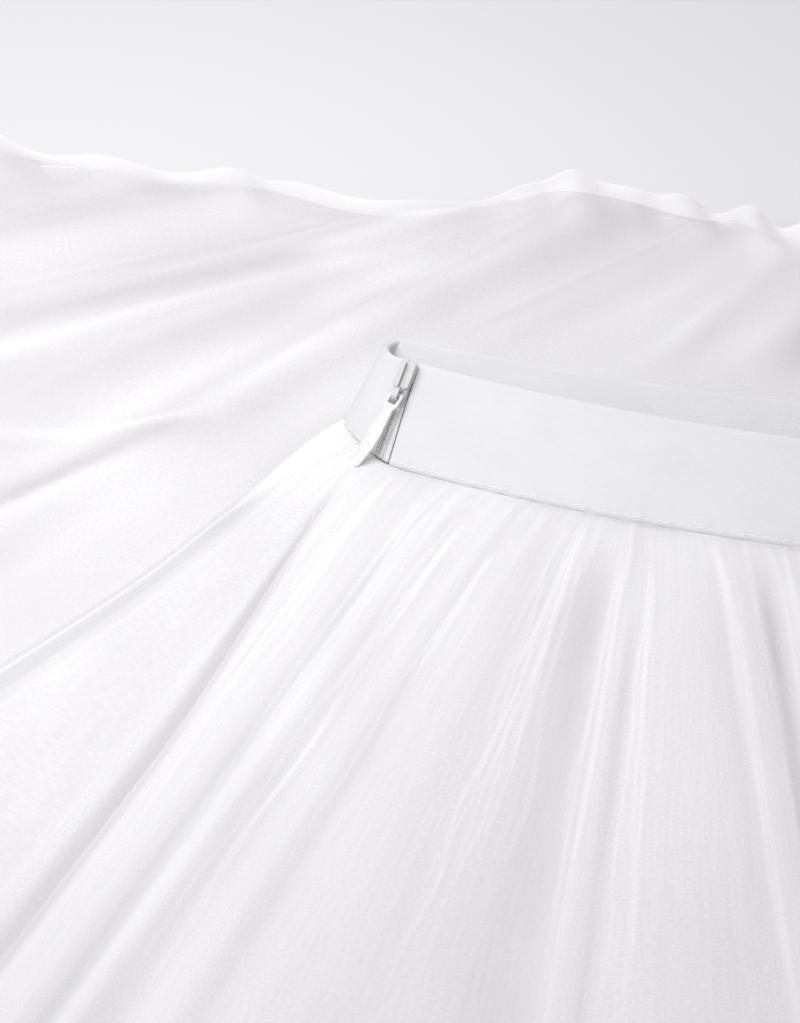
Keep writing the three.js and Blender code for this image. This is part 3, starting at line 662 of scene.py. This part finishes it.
# ---- Folds of the turned-back end ----
# Large folds, as in the solids: mm from the left side fold at the seam, height, half width and lean.
MAIN_FOLDS = [
    (22, 2, 5, 1), (37.5, 4, 6, 0), (51.5, 3, 5, 1), (61, 4, 7, 4), (96, 4.5, 8, 0),
    (109, 0.8, 6, 0), (129, 4.5, 8, -2), (150, 3, 7, 3), (169, 5, 9, -2), (188, 3, 7, 2), (206, 4.5, 9, 3),
    (228, 3.5, 8, -2), (247, 5, 9, 2), (268, 3, 7, -3), (288, 4.5, 9, 2), (308, 3.5, 8, -1), (327, 3, 7, 3),
]


def main_gathers(at, reach):
    """The large folds: bells across lines that lean as they go, growing taller and wider from the seam."""
    grown = ease(0, 120, reach)
    return sum(
        height * lerp(0.2, 1, grown) * bump(at - where - lean * grown, width * lerp(0.55, 0.8, grown))
        for where, height, width, lean in MAIN_FOLDS
    )


def random_gathers(at, reach, seed, count, height, width, life):
    """Lines of gathering that start at the seam, drift sideways and die away: bells across each line.

    height, width and life are (least, most). A line's width is in opened-out millimetres.
    """
    rng = np.random.default_rng(seed)
    total = np.zeros_like(at)
    for n in range(count):
        where = (n + rng.uniform(0.1, 0.9)) * WAIST_FLAT / count
        tall, wide = rng.uniform(*height), rng.uniform(*width)
        lasts = rng.uniform(*life)
        lean, bow, _ = rng.normal(0, 1.6), rng.normal(0, 0.6), rng.uniform(0, 1)  # the last is a spare draw
        t = np.clip(reach / lasts, 0, 1.4)
        line = where + lean * t + bow * np.sin(t * 5)
        fades = 1 - ease(0.5, 1.25, t)
        total += tall * fades * bump((at - line) * opened(where, reach), wide * (1 + 0.8 * t))
    return total


# Bundles of crumpled lines beside the large folds: where, how far they spread, how many, where they start.
BUNDLES = [
    (18, 2.0, 7, 0), (31, 2.2, 6, 0), (44, 2.5, 6, 10), (57, 1.6, 5, 15), (70.5, 1.3, 10, 0),
    (82.5, 1.0, 5, 0), (88.5, 0.7, 5, 4), (105, 1.4, 8, 0), (112, 1.2, 6, 6), (121, 1.5, 6, 0),
    (138, 2.0, 8, 0), (159, 2.2, 7, 4), (178, 2.0, 8, 0), (196, 1.8, 6, 8), (216, 2.2, 8, 0),
    (237, 2.0, 7, 4), (258, 1.8, 8, 0), (278, 2.2, 6, 8), (298, 2.0, 8, 0), (317, 1.8, 7, 0),
]
# Hollows where the net sinks, its cover dropping there as painted shade: where, half width, depth, and how
# far from the seam they start.
HOLLOWS = [
    (30.5, 2.6, 2, 20), (44.5, 2.4, 0.7, 30), (78.5, 4.4, 3.4, 10), (87, 1.2, 1.4, 30), (115.5, 3.4, 3.6, 4),
    (139.5, 3.5, 2.6, 12), (160, 3.5, 2.4, 10), (179, 3.2, 2.8, 16), (198, 3, 2.4, 8), (218, 3.6, 2.8, 14),
    (238, 3.2, 2.4, 10), (259, 3.4, 2.8, 12), (279, 3, 2.4, 10), (299, 3.4, 2.8, 14), (318, 3, 2.2, 10),
]


def bundles(at, reach, seed):
    """The crumpled lines of each bundle: thin bells that wander beside each other and die away one by one."""
    rng = np.random.default_rng(seed)
    total = np.zeros_like(at)
    for where, spread, count, start in BUNDLES:
        for _ in range(count):
            place = where + rng.normal(0, spread)
            begins = start + rng.uniform(0, 16)
            lasts = rng.uniform(35, 190)
            sway = rng.uniform(0.15, 0.6) * np.sin(reach / rng.uniform(7, 17) + rng.uniform(0, TAU))
            line = place + sway + rng.normal(0, 1.0) * ease(0, 110, reach)
            t = (reach - begins) / lasts
            strength = rng.uniform(0.35, 1) * ease(0, 0.15, t) * (1 - ease(0.7, 1.1, t))
            total += strength * bump((at - line) * opened(place, reach), rng.uniform(0.35, 0.8))
    return total


def hollows(at, reach):
    """Depth of the hollows: a bell across each, eased in over 35 mm from where it starts."""
    return sum(
        depth * bump(at - where, width) * ease(start, start + 35, reach)
        for where, width, depth, start in HOLLOWS
    )


def seam_line(reach):
    """Where the side seam runs, in mm from the left side fold."""
    return lerp(ZIP_FROM_FOLD, SEAM_AT_TURN, ease(0, 120, reach))


def beside_seam(at, reach, blur):
    """The back panel's valley at the side seam: half a bell, which stops at the seam or blurs over it."""
    short = seam_line(reach) - at
    inside = ease(-blur, blur, short) if blur else short > 0.02
    return 3.6 * bump(short, 1.2) * inside * ease(4, 34, reach)


def net_folds(at, reach, layer):
    """Height of one net layer over the smooth form, and how much of what lies behind it covers; the cover
    also carries painted shade in the hollows, at the side seam's crease and towards the right, and painted
    light on the far left.
    """
    fine = random_gathers(at, reach, 11 + layer, 130, (0.04, 0.16), (0.8, 1.9), (12, 60))
    medium = random_gathers(at, reach, 31 + layer, 40, (0.1, 0.5), (2.4, 6.0), (70, 330))
    crumpled = bundles(at, reach, 51 + layer)
    sunk = hollows(at, reach)
    height = 0.6 * main_gathers(at, reach) + medium + fine + 0.05 * crumpled - 0.5 * sunk
    height = height - beside_seam(at, reach, 1.5 * layer)
    streak = drift(at, reach, 0.9, 70, 7 + layer) - 0.5
    patch = drift(at + reach * np.sin(fan_heading(at)), reach, 21, 48, 3 + layer) - 0.5
    # The last term of edge thins the net along the side seam's crease: painted shade in the crease.
    edge = 0.05 * bump(at - 0.3, 0.5) - 0.2 * bump(at - 2.4, 2.0) - 0.3 * bump(seam_line(reach) - at, 0.8)
    # Less cover where sunk is deep shows the grey lining: painted shade in the hollows.
    cover = 0.62 + 0.3 * fine + 0.1 * medium + 0.12 * np.minimum(crumpled, 1.2) - 0.09 * sunk
    cover = cover + 0.04 * streak + 0.22 * patch + edge * ease(12, 40, reach)
    # More cover on the far left and less from 70 mm rightwards: painted light on the left, painted shade
    # towards the right.
    cover = cover + 0.06 * np.exp(-reach / 14) + 0.03 * (1 - ease(0, 60, at)) - 0.08 * ease(70, 130, at)
    return height, cover


def fan_places(count, start=0.0, end=1.0, crowded=0.0):
    """Places across the turned-back end, closer where the fan opens; crowded draws them leftwards."""
    place = np.linspace(start, end, 4000)
    at = rounded_across(place, EDGE_AT_TURN / WAIST_FLAT)[0] * WAIST_FLAT
    opening = np.gradient(np.sin(fan_heading(at)), at + 1e-6 * place)
    step = np.gradient(at) * (1 + 60 * opening) + 0.02 * np.gradient(place) * WAIST_FLAT
    step = step * (1 + crowded * (place < 0.62))
    length = np.concatenate([[0], np.cumsum((step[1:] + step[:-1]) / 2)])
    return np.interp(np.linspace(0, length[-1], count), length, place)


NET_REACHES = spaced((-1.6, 0), (1.2, 5), (12, 16), (60, 40), (TURN_BACK, 56))
LINING_REACHES = spaced((0.9, 0), (40, 14), (TURN_BACK, 30))
TURN_ROWS = np.linspace(0, 1, 25)[1:]


def turned_grid(places, reaches):
    """Grids of place, reach and turn: from the end of the turn over the nose, and back to the seam."""
    reach = np.concatenate([reaches, np.full(len(TURN_ROWS), TURN_BACK)])[::-1]
    turn = np.concatenate([np.zeros(len(reaches)), TURN_ROWS])[::-1]
    place, reach = np.meshgrid(places, reach)
    return place, reach, np.broadcast_to(turn[:, None], place.shape)


def midway(reach):
    """1 between the band and the crest, eased to 0 at both."""
    return ease(15, 50, reach) * (1 - ease(150, 225, reach))


def turned_net(name, places, inset, layer, finish):
    """A net panel of the turned-back end: the smooth form, lifted along its normals by its own folds."""
    place, reach, turn = turned_grid(places, NET_REACHES)
    smooth, across, rise = turned_surface(place, reach, turn, inset, midway(reach) * (inset > 0))
    run = reach + turn * 80
    at = across * WAIST_FLAT
    height, cover = net_folds(at, run, layer)
    kept = rise * lerp(1, 0.1, ease(0.5, 1, turn)) * ease(0, 9, reach)
    points = smooth + grid_normals(smooth) * (kept * height)[..., None]
    return open_sheet(name, points, np.stack([at * 1.6, run], -1), np.clip(cover, 0.15, 0.95), finish)


def turned_lining(finish):
    """The layers inside the turned-back end: a closed form that slopes to the back seam at its waist end."""
    place, reach, turn = turned_grid(fan_places(220), LINING_REACHES)
    inset = 3.2
    smooth, across, rise = turned_surface(place, reach, turn, inset, 2 * midway(reach))
    at = across * WAIST_FLAT
    folds = 0.5 * main_gathers(at, reach) - 0.8 * hollows(at, reach) - beside_seam(at, reach, 2.0)
    kept = rise * lerp(1, 0, ease(0.3, 1, turn)) * ease(0, 10, reach)
    top = smooth + grid_normals(smooth) * (kept * folds)[..., None]
    x = lerp(-HALF, HALF, across)
    under = BODY_TOP + 0.6
    px, py = fan_plan(across, np.minimum(reach, LAYER_END), rise)
    back = (2 * dip_half(x) - 2) * rise * (1 - ease(0, 46, reach))
    seam = band_mid(x) - open_half(x) * rise + 1
    low = np.where(turn > 0, lerp(under, FLOOR_GAP + inset, turn),
                   np.minimum(lerp(seam, under, ease(0, 24, reach)), top[..., 2] - 1))
    bottom = np.stack([px - drawn_in(across, reach), py + np.where(turn > 0, 0, back), low], -1)
    return closed_pair("turned_lining", top, bottom, finish)


# ---- Folds of the lower length ----
def drawn_folds(x, y, free, seed, count, height, width):
    """Straight soft ridges that follow the large drag folds' headings, each fading along its length."""
    rng = np.random.default_rng(seed)
    crossings, headings = np.array(DRAG_FOLDS, float)[:, :2].T
    total = np.zeros_like(x)
    for n in range(count):
        cross_x = lerp(-640, 460, (n + rng.uniform(0, 1)) / count)
        heading = (np.interp(cross_x, crossings, headings) + rng.normal(0, 4)) * RAD
        tall, wide = rng.uniform(*height), rng.uniform(*width)
        centre, reach = rng.uniform(0, 190), rng.uniform(60, 170)
        off = (x - cross_x) * math.sin(heading) - y * math.cos(heading)
        off = off + rng.normal(0, 2.5) * np.sin(y / rng.uniform(25, 50))
        total += tall * bump(off, wide) * bump(y - centre, reach)
    return total * free


# Hollows of the lower length, or ridges where the depth is below 0; the net's cover drops in the hollows as
# painted shade and rises on the ridges as painted highlight: where each starts (x, y), its heading from +X,
# its length, half width and depth.
SPREAD_HOLLOWS = [
    (-282, 83, 27, 88, 9, 1.3), (-276, 53, 32, 89, 9, 0.9), (-269, 17, 31, 48, 5.6, 1.4),
    (-280, 70, 31, 105, 2.9, -0.5), (-274, 41, 10, 45, 1.8, -0.6), (-244, 50, 44, 112, 8.5, -0.5),
    (-246, 10, 47, 122, 6.5, -0.5), (-30, 110, 66, 90, 7, 0.8), (60, 120, 70, 110, 9, 0.7),
    (170, 90, 77, 120, 8, 1.0), (215, 60, 80, 130, 6, -0.4), (290, 60, 88, 150, 9, 0.8),
    (-420, 60, 32, 90, 8, 0.7),
]


def spread_hollows(x, y):
    """Straight strips that sink: a bell across each, eased in over 40 mm and out over 25 mm past its ends."""
    total = 0
    for start_x, start_y, heading, length, width, depth in SPREAD_HOLLOWS:
        cos, sin = math.cos(heading * RAD), math.sin(heading * RAD)
        run = (x - start_x) * cos + (y - start_y) * sin
        off = (x - start_x) * sin - (y - start_y) * cos
        total = total + depth * bump(off, width) * ease(-40, 0, run) * (1 - ease(length, length + 25, run))
    return total


def lower_surface(places, alongs, drop, inset, foot, longer=0.0):
    """Upper face of the lower length, from the turn to the hem.

    Gives its x, y and top, the rise of its rounded sides, how free it lies, its hollows, and its places.
    """
    place, along = np.meshgrid(places, alongs)
    across, rise = rounded_across(place, BODY_EDGE / LOWER_WIDTH)
    drawn = lerp(inset / LOWER_WIDTH, 1 - inset / LOWER_WIDTH, across)
    x, y = lower_plan(drawn, np.minimum(along, 1 - inset / LOWER_LENGTH), longer=longer)
    top, free = lower_top(x, y)
    sunk = spread_hollows(x, y)
    top = top * lerp(1, 0.72, ease(0.94, 1, along)) - drop - 1.2 * sunk * free
    return x, y, np.maximum(top, foot + 1), rise, free, sunk, across, along


LOWER_ALONGS = spaced((0, 0), (0.3, 14), (0.62, 50), (1, 110))


def lower_net(name, layer, drop, inset, longer, cols, finish):
    """A net layer over the lower length, with drawn folds and a fluted hem that sinks at its edge."""
    alongs = LOWER_ALONGS if layer == 0 else LOWER_ALONGS[::2]
    foot = 2.6 - drop * 0.2
    x, y, top, rise, free, sunk, across, along = lower_surface(
        np.linspace(0, 1, cols), alongs, drop, inset, foot, longer
    )
    medium = drawn_folds(x, y, free, 71, 36, (0.4, 1.8), (5, 12))
    crisp = drawn_folds(x, y, free, 91 + layer, 20, (0.08, 0.28), (1.4, 2.6))
    flute = 1.6 * np.sin(across * 165 + 2 * np.sin(across * 31 + layer))
    flute = flute + 1.1 * np.sin(across * 260 + layer * 2)
    top = top + medium + crisp + flute * ease(0.9, 1, along) * free
    points = np.stack([x, y, lerp(foot, np.maximum(top, foot + 0.8), rise)], -1)
    uv = np.stack([(across - 0.5) * LOWER_WIDTH, along * LOWER_LENGTH], -1)
    patch = drift(x, y, 34, 26, 17 + layer) - 0.5
    # Less cover where sunk is above 0 shows the grey lining: painted shade in the hollows, and painted
    # highlight on the ridges where it is below 0.
    cover = 0.6 + 0.25 * crisp + 0.07 * medium + 0.2 * patch - 0.3 * sunk
    cover = cover + 0.4 * ease(0.994, 1, along) + 0.25 * (1 - rise)
    return open_sheet(name, points, uv, np.clip(cover, 0.12, 0.96), finish)


# The border of the hidden layers, from top to bottom: share of its height, and depth of the groove there.
LAYER_EDGES = [
    (0.1, -0.6), (0.2, 0), (0.34, 3), (0.42, 0.2), (0.5, -0.4), (0.58, 0.4), (0.66, 3), (0.8, 0),
]


def lower_lining(finish):
    """The hidden layers of the lower length, their edges at the border as rolls with grooves between."""
    foot = 1.3
    x, y, top, rise, free, *_ = lower_surface(
        np.linspace(0, 1, 150), spaced((0, 0), (0.4, 12), (1, 60)), 3.0, 5.0, foot + 0.5
    )
    top = top + drawn_folds(x, y, free, 7, 30, (0.5, 1.6), (6, 12)) * rise
    upper = np.stack([x, y, lerp(foot + 0.4, np.maximum(top, foot + 1.5), rise)], -1)
    lower = np.stack([x, y, foot + 0 * x], -1)
    border = grid_border(*x.shape)
    high, low = upper.reshape(-1, 3)[border], lower.reshape(-1, 3)[border]
    inward = unit(np.array([0, -20, 0]) - high * [1, 1, 0])
    tall = ease(1, 4, high[:, 2] - low[:, 2])
    loops = [lerp(high, low, share) + inward * (depth * tall)[:, None] for share, depth in LAYER_EDGES]
    return closed_pair("lower_lining", upper, lower, finish, loops)


def under_net(finish):
    """The front panel's lower stretch: a flat sheet just above the table, rippled only near its hem."""
    across, along = np.meshgrid(np.linspace(0, 1, 200), spaced((0, 0), (0.8, 20), (1, 24)))
    near = TURN_BACK - 1.2 + wander(lerp(NEAR_SHARE, 1 - NEAR_SHARE, across))
    nx, ny = lower_plan(lerp(0.025, 0.975, across), along * 0, near)
    x, y = lower_plan(across, along, longer=4.0)
    x, y = np.where(along > 0, x, nx), np.where(along > 0, y, ny)
    ripple = 0.7 * (1 + np.sin(across * 210 + 3 * np.sin(across * 23))) * ease(0.9, 1, along)
    uv = np.stack([across * LOWER_WIDTH, along * LOWER_LENGTH], -1)
    return open_sheet("under_net", np.stack([x, y, 0.35 + ripple], -1), uv, 0.8 + 0 * along, finish)


# ---- The zip ----
def refined_copy(node, name, bevel, finish):
    """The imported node's own form with its doubles merged and its edges rounded."""
    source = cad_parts[node]
    piece = bpy.data.objects.new(name, source.data.copy())
    bpy.context.scene.collection.objects.link(piece)
    shape = bmesh.new()
    shape.from_mesh(piece.data)
    bmesh.ops.remove_doubles(shape, verts=shape.verts, dist=2e-6)
    bmesh.ops.dissolve_limit(shape, angle_limit=0.02, verts=shape.verts, edges=shape.edges)
    shape.to_mesh(piece.data)
    shape.free()
    piece.data.materials.clear()
    piece.data.materials.append(finish)
    rounding = piece.modifiers.new("rounded edges", "BEVEL")
    rounding.width, rounding.segments = bevel * MM, 3
    rounding.limit_method, rounding.angle_limit = "ANGLE", 0.6
    piece.data.polygons.foreach_set("use_smooth", np.full(len(piece.data.polygons), True))
    return piece


def zip_coil(finish):
    """The zip's two rows of coil in the opening: a helix of small loops carried up the band's slope."""
    turns, rows, sides, radius = 34, 340, 6, 0.3
    share = np.linspace(0.03, 0.8, rows)
    phase = np.linspace(0, turns * TAU, rows)
    point, along, _, out = band_frame(np.full_like(share, ZIP_ARC), share)
    tubes, faces = [], []
    for n, side in enumerate((-1, 1)):
        path = point + out * (0.35 * np.sin(phase) - 0.25)[:, None]
        path = path + along * (side * (0.8 + 0.6 * np.cos(phase)))[:, None]
        tubes.append(tube_points(path, radius, sides))
        start, end = n * rows * sides, (n + 1) * rows * sides
        faces += (grid_faces(rows, sides, wrap_cols=True) + start).tolist()
        faces += [list(range(start, start + sides))[::-1], list(range(end - sides, end))]
    return add_piece("zip_coil", np.concatenate(tubes), faces, finish)


def zip_ground(finish):
    """Tape that closes the zip's opening just below the band's face, from one band end to the other."""
    share = np.linspace(0.012, 0.965, 24)
    across = np.linspace(-1, 1, 7)
    half = (lerp(ZIP_OPEN_SEAM, ZIP_OPEN_TOP, share) / 2 - 0.12)[:, None] * across
    point, _, _, out = band_frame(ZIP_ARC + half, share[:, None] + 0 * half)
    top = point - out * (0.5 - 0.2 * across**2)[None, :, None]
    return closed_pair("zip_ground", top, top - out * 0.5, finish)


def tube_points(path, radius, sides):
    """Rings of a tube: circles across the path's direction."""
    along = unit(np.gradient(path, axis=0))
    across = unit(np.cross(along, [0.1, 0.3, 1.0]))
    other = np.cross(along, across)
    angle = np.linspace(0, TAU, sides + 1)[:-1]
    circle = across[:, None] * np.cos(angle)[None, :, None] + other[:, None] * np.sin(angle)[None, :, None]
    return path[:, None] + circle * radius


# ---- Making it all ----
def build():
    """Every piece: its mesh and finish, the body that it rides on, and the solid that it replaces."""
    cloth, thread = band_finish(), thread_finish()
    net, far_net = net_finish("tulle_gathered", 0.12, 0.945), net_finish("tulle_spread", 0.03, 0.955)
    lining = lining_finish()

    low, high = ZIP_OPEN_SEAM / 2, ZIP_OPEN_TOP / 2
    far = RING_HALF - BAND_END_GAP / 2
    front = band_piece("band_front", (ZIP_ARC + low, ZIP_ARC + high), (far, far), 420, cloth)
    back = band_piece("band_back", (-far, -far), (ZIP_ARC - low, ZIP_ARC - high), 440, cloth)
    stitches = topstitching(thread)

    seam = EDGE_PLACE + SEAM_SHARE * (1 - 2 * EDGE_PLACE)
    front_net = turned_net("front_net", fan_places(560, seam, 1, 0.7), 0, 0, net)
    side_net = turned_net("side_net", fan_places(70, 0, seam), 0, 0, net)
    inner = turned_net("turned_inner_net", fan_places(420, 0, 1, 0.4), 1.6, 1, net)
    turned = turned_lining(lining)

    back_net = lower_net("lower_net", 0, 0, 0, 0, 460, far_net)
    back_inner = lower_net("lower_inner_net", 1, 1.5, 2, -6, 300, far_net)
    lower = lower_lining(lining)
    under = under_net(far_net)

    tape = tape_finish()
    tape_piece = refined_copy("zip_tape", "zip_tape_cloth", 0.12, tape)
    ground = zip_ground(tape)
    # The slider's enamel is a darker copy of the pull's white enamel: painted shade.
    slider = refined_copy("zip_slider", "zip_slider_body", 0.22, enamel_finish("zip_enamel", 0.5))
    pull = refined_copy("zip_pull", "zip_pull_tab", 0.45, enamel_finish("pull_enamel", 0.66))
    coil = zip_coil(coil_finish())

    replaced = [
        (front, "waistband_front", "band_cloth"), (back, "waistband_back", "band_cloth"),
        (front_net, "front_tulle", "tulle"), (side_net, "back_tulle_side", "tulle"),
        (turned, "turned_layers", "lining"), (back_net, "back_tulle", "tulle"),
        (lower, "lower_layers", "lining"), (under, "front_tulle_lower", "tulle"),
        (tape_piece, "zip_tape", "zip_tape"), (slider, "zip_slider", "zip_enamel"),
        (pull, "zip_pull", "zip_enamel"),
    ]
    for piece, node, slot in replaced:
        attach(piece, "zip_pull" if node == "zip_pull" else "skirt")
        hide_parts(node)
    added = [
        (stitches, "band_cloth"), (inner, "tulle"), (back_inner, "tulle"), (coil, "zip_tape"),
        (ground, "zip_tape"),
    ]
    for piece, slot in added:
        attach(piece, "skirt")

    declare_cloth(front_net, side_net, inner, back_net, back_inner, under)


def flared_cut(near, far, share):
    """Size and area in metres of a share of a panel's width, between two distances from the waist."""
    wide = [lerp(CUT_AT_WAIST, CUT_AT_HEM, at / SKIRT_LENGTH) * share * MM for at in (near, far)]
    length = (far - near) * MM
    return (wide[1], length), (wide[0] + wide[1]) / 2 * length


def declare_cloth(front_net, side_net, inner, back_net, back_inner, under):
    """Works out every net panel's cut, a flared piece, as a size and an area; nothing is done with them."""
    turn = TURN_BACK + NOSE_CLOTH
    stretches = [
        (front_net, "gathered", 0, turn, 0.87, ["turned_inner_net"]),
        (side_net, "gathered", 0, turn, 0.13, ["turned_inner_net"]),
        (inner, "gathered", 0, turn, 1.0, ["turned_lining"]),
        (back_net, "laid", turn, SKIRT_LENGTH, 1.0, ["lower_inner_net"]),
        (back_inner, "laid", turn, SKIRT_LENGTH, 1.0, ["lower_lining"]),
        (under, "laid", turn, SKIRT_LENGTH, 1.0, []),
    ]
    for piece, held, near, far, share, rests_on in stretches:
        flat, area = flared_cut(near, far, share)


# ---- The table, the light and the camera ----
CAMERA_TARGET = (-151.9, 9.1, 52.0)
CAMERA_AZIMUTH, CAMERA_ELEVATION = -6.05, 49.9
CAMERA_DISTANCE = 0.70
CAMERA_LENS = 2519 * 36 / 1023
WORLD_COLOR, WORLD_STRENGTH = (0.98, 0.958, 1.0, 1), 0.57
KEY_WATTS, KEY_SIZE, KEY_PLACE = 1.75, 0.45, (-0.32, 0.05, 0.49)
KEY_TARGET = (-0.15, 0.0, 0.04)
TABLE_HALF, TABLE_DROP = 3000.0, 0.4


def look_angles(direction):
    """Euler angles that turn -Z towards a direction, keeping +Y up."""
    x, y, z = direction / np.linalg.norm(direction)
    return math.acos(-z), 0.0, math.atan2(-x, y)


def stage():
    """A pale table top, soft light all round and overhead, and the camera looking down at the zip's end."""
    scene = bpy.context.scene
    pale = Finish("table", 0.9)
    pale.set("Base Color", (0.86, 0.86, 0.875, 1))
    corners = np.array([[-1, -1, 0], [1, -1, 0], [1, 1, 0], [-1, 1, 0]]) * TABLE_HALF - [0, 0, TABLE_DROP]
    add_piece("table_top", corners, [[0, 1, 2, 3]], pale.material, smooth=False)

    scene.world = bpy.data.worlds.new("studio")
    scene.world.use_nodes = True
    sky = scene.world.node_tree.nodes["Background"].inputs
    sky["Color"].default_value, sky["Strength"].default_value = WORLD_COLOR, WORLD_STRENGTH
    lamp = bpy.data.lights.new("key", "AREA")
    lamp.energy, lamp.size, lamp.shape = KEY_WATTS, KEY_SIZE, "DISK"
    key = bpy.data.objects.new("key", lamp)
    scene.collection.objects.link(key)
    key.location = KEY_PLACE
    key.rotation_euler = look_angles(np.array(KEY_TARGET) - KEY_PLACE)

    data = bpy.data.cameras.new("camera")
    data.sensor_width, data.lens, data.clip_end = 36, CAMERA_LENS, 20
    camera = bpy.data.objects.new("camera", data)
    scene.collection.objects.link(camera)
    azimuth, elevation = CAMERA_AZIMUTH * RAD, CAMERA_ELEVATION * RAD
    level = math.cos(elevation)
    forward = np.array([math.sin(azimuth) * level, math.cos(azimuth) * level, -math.sin(elevation)])
    camera.location = np.array(CAMERA_TARGET) * MM - forward * CAMERA_DISTANCE
    camera.rotation_euler = look_angles(forward)
    scene.camera = camera

    scene.view_settings.view_transform = "Standard"
    scene.view_settings.look = "None"


build()
stage()
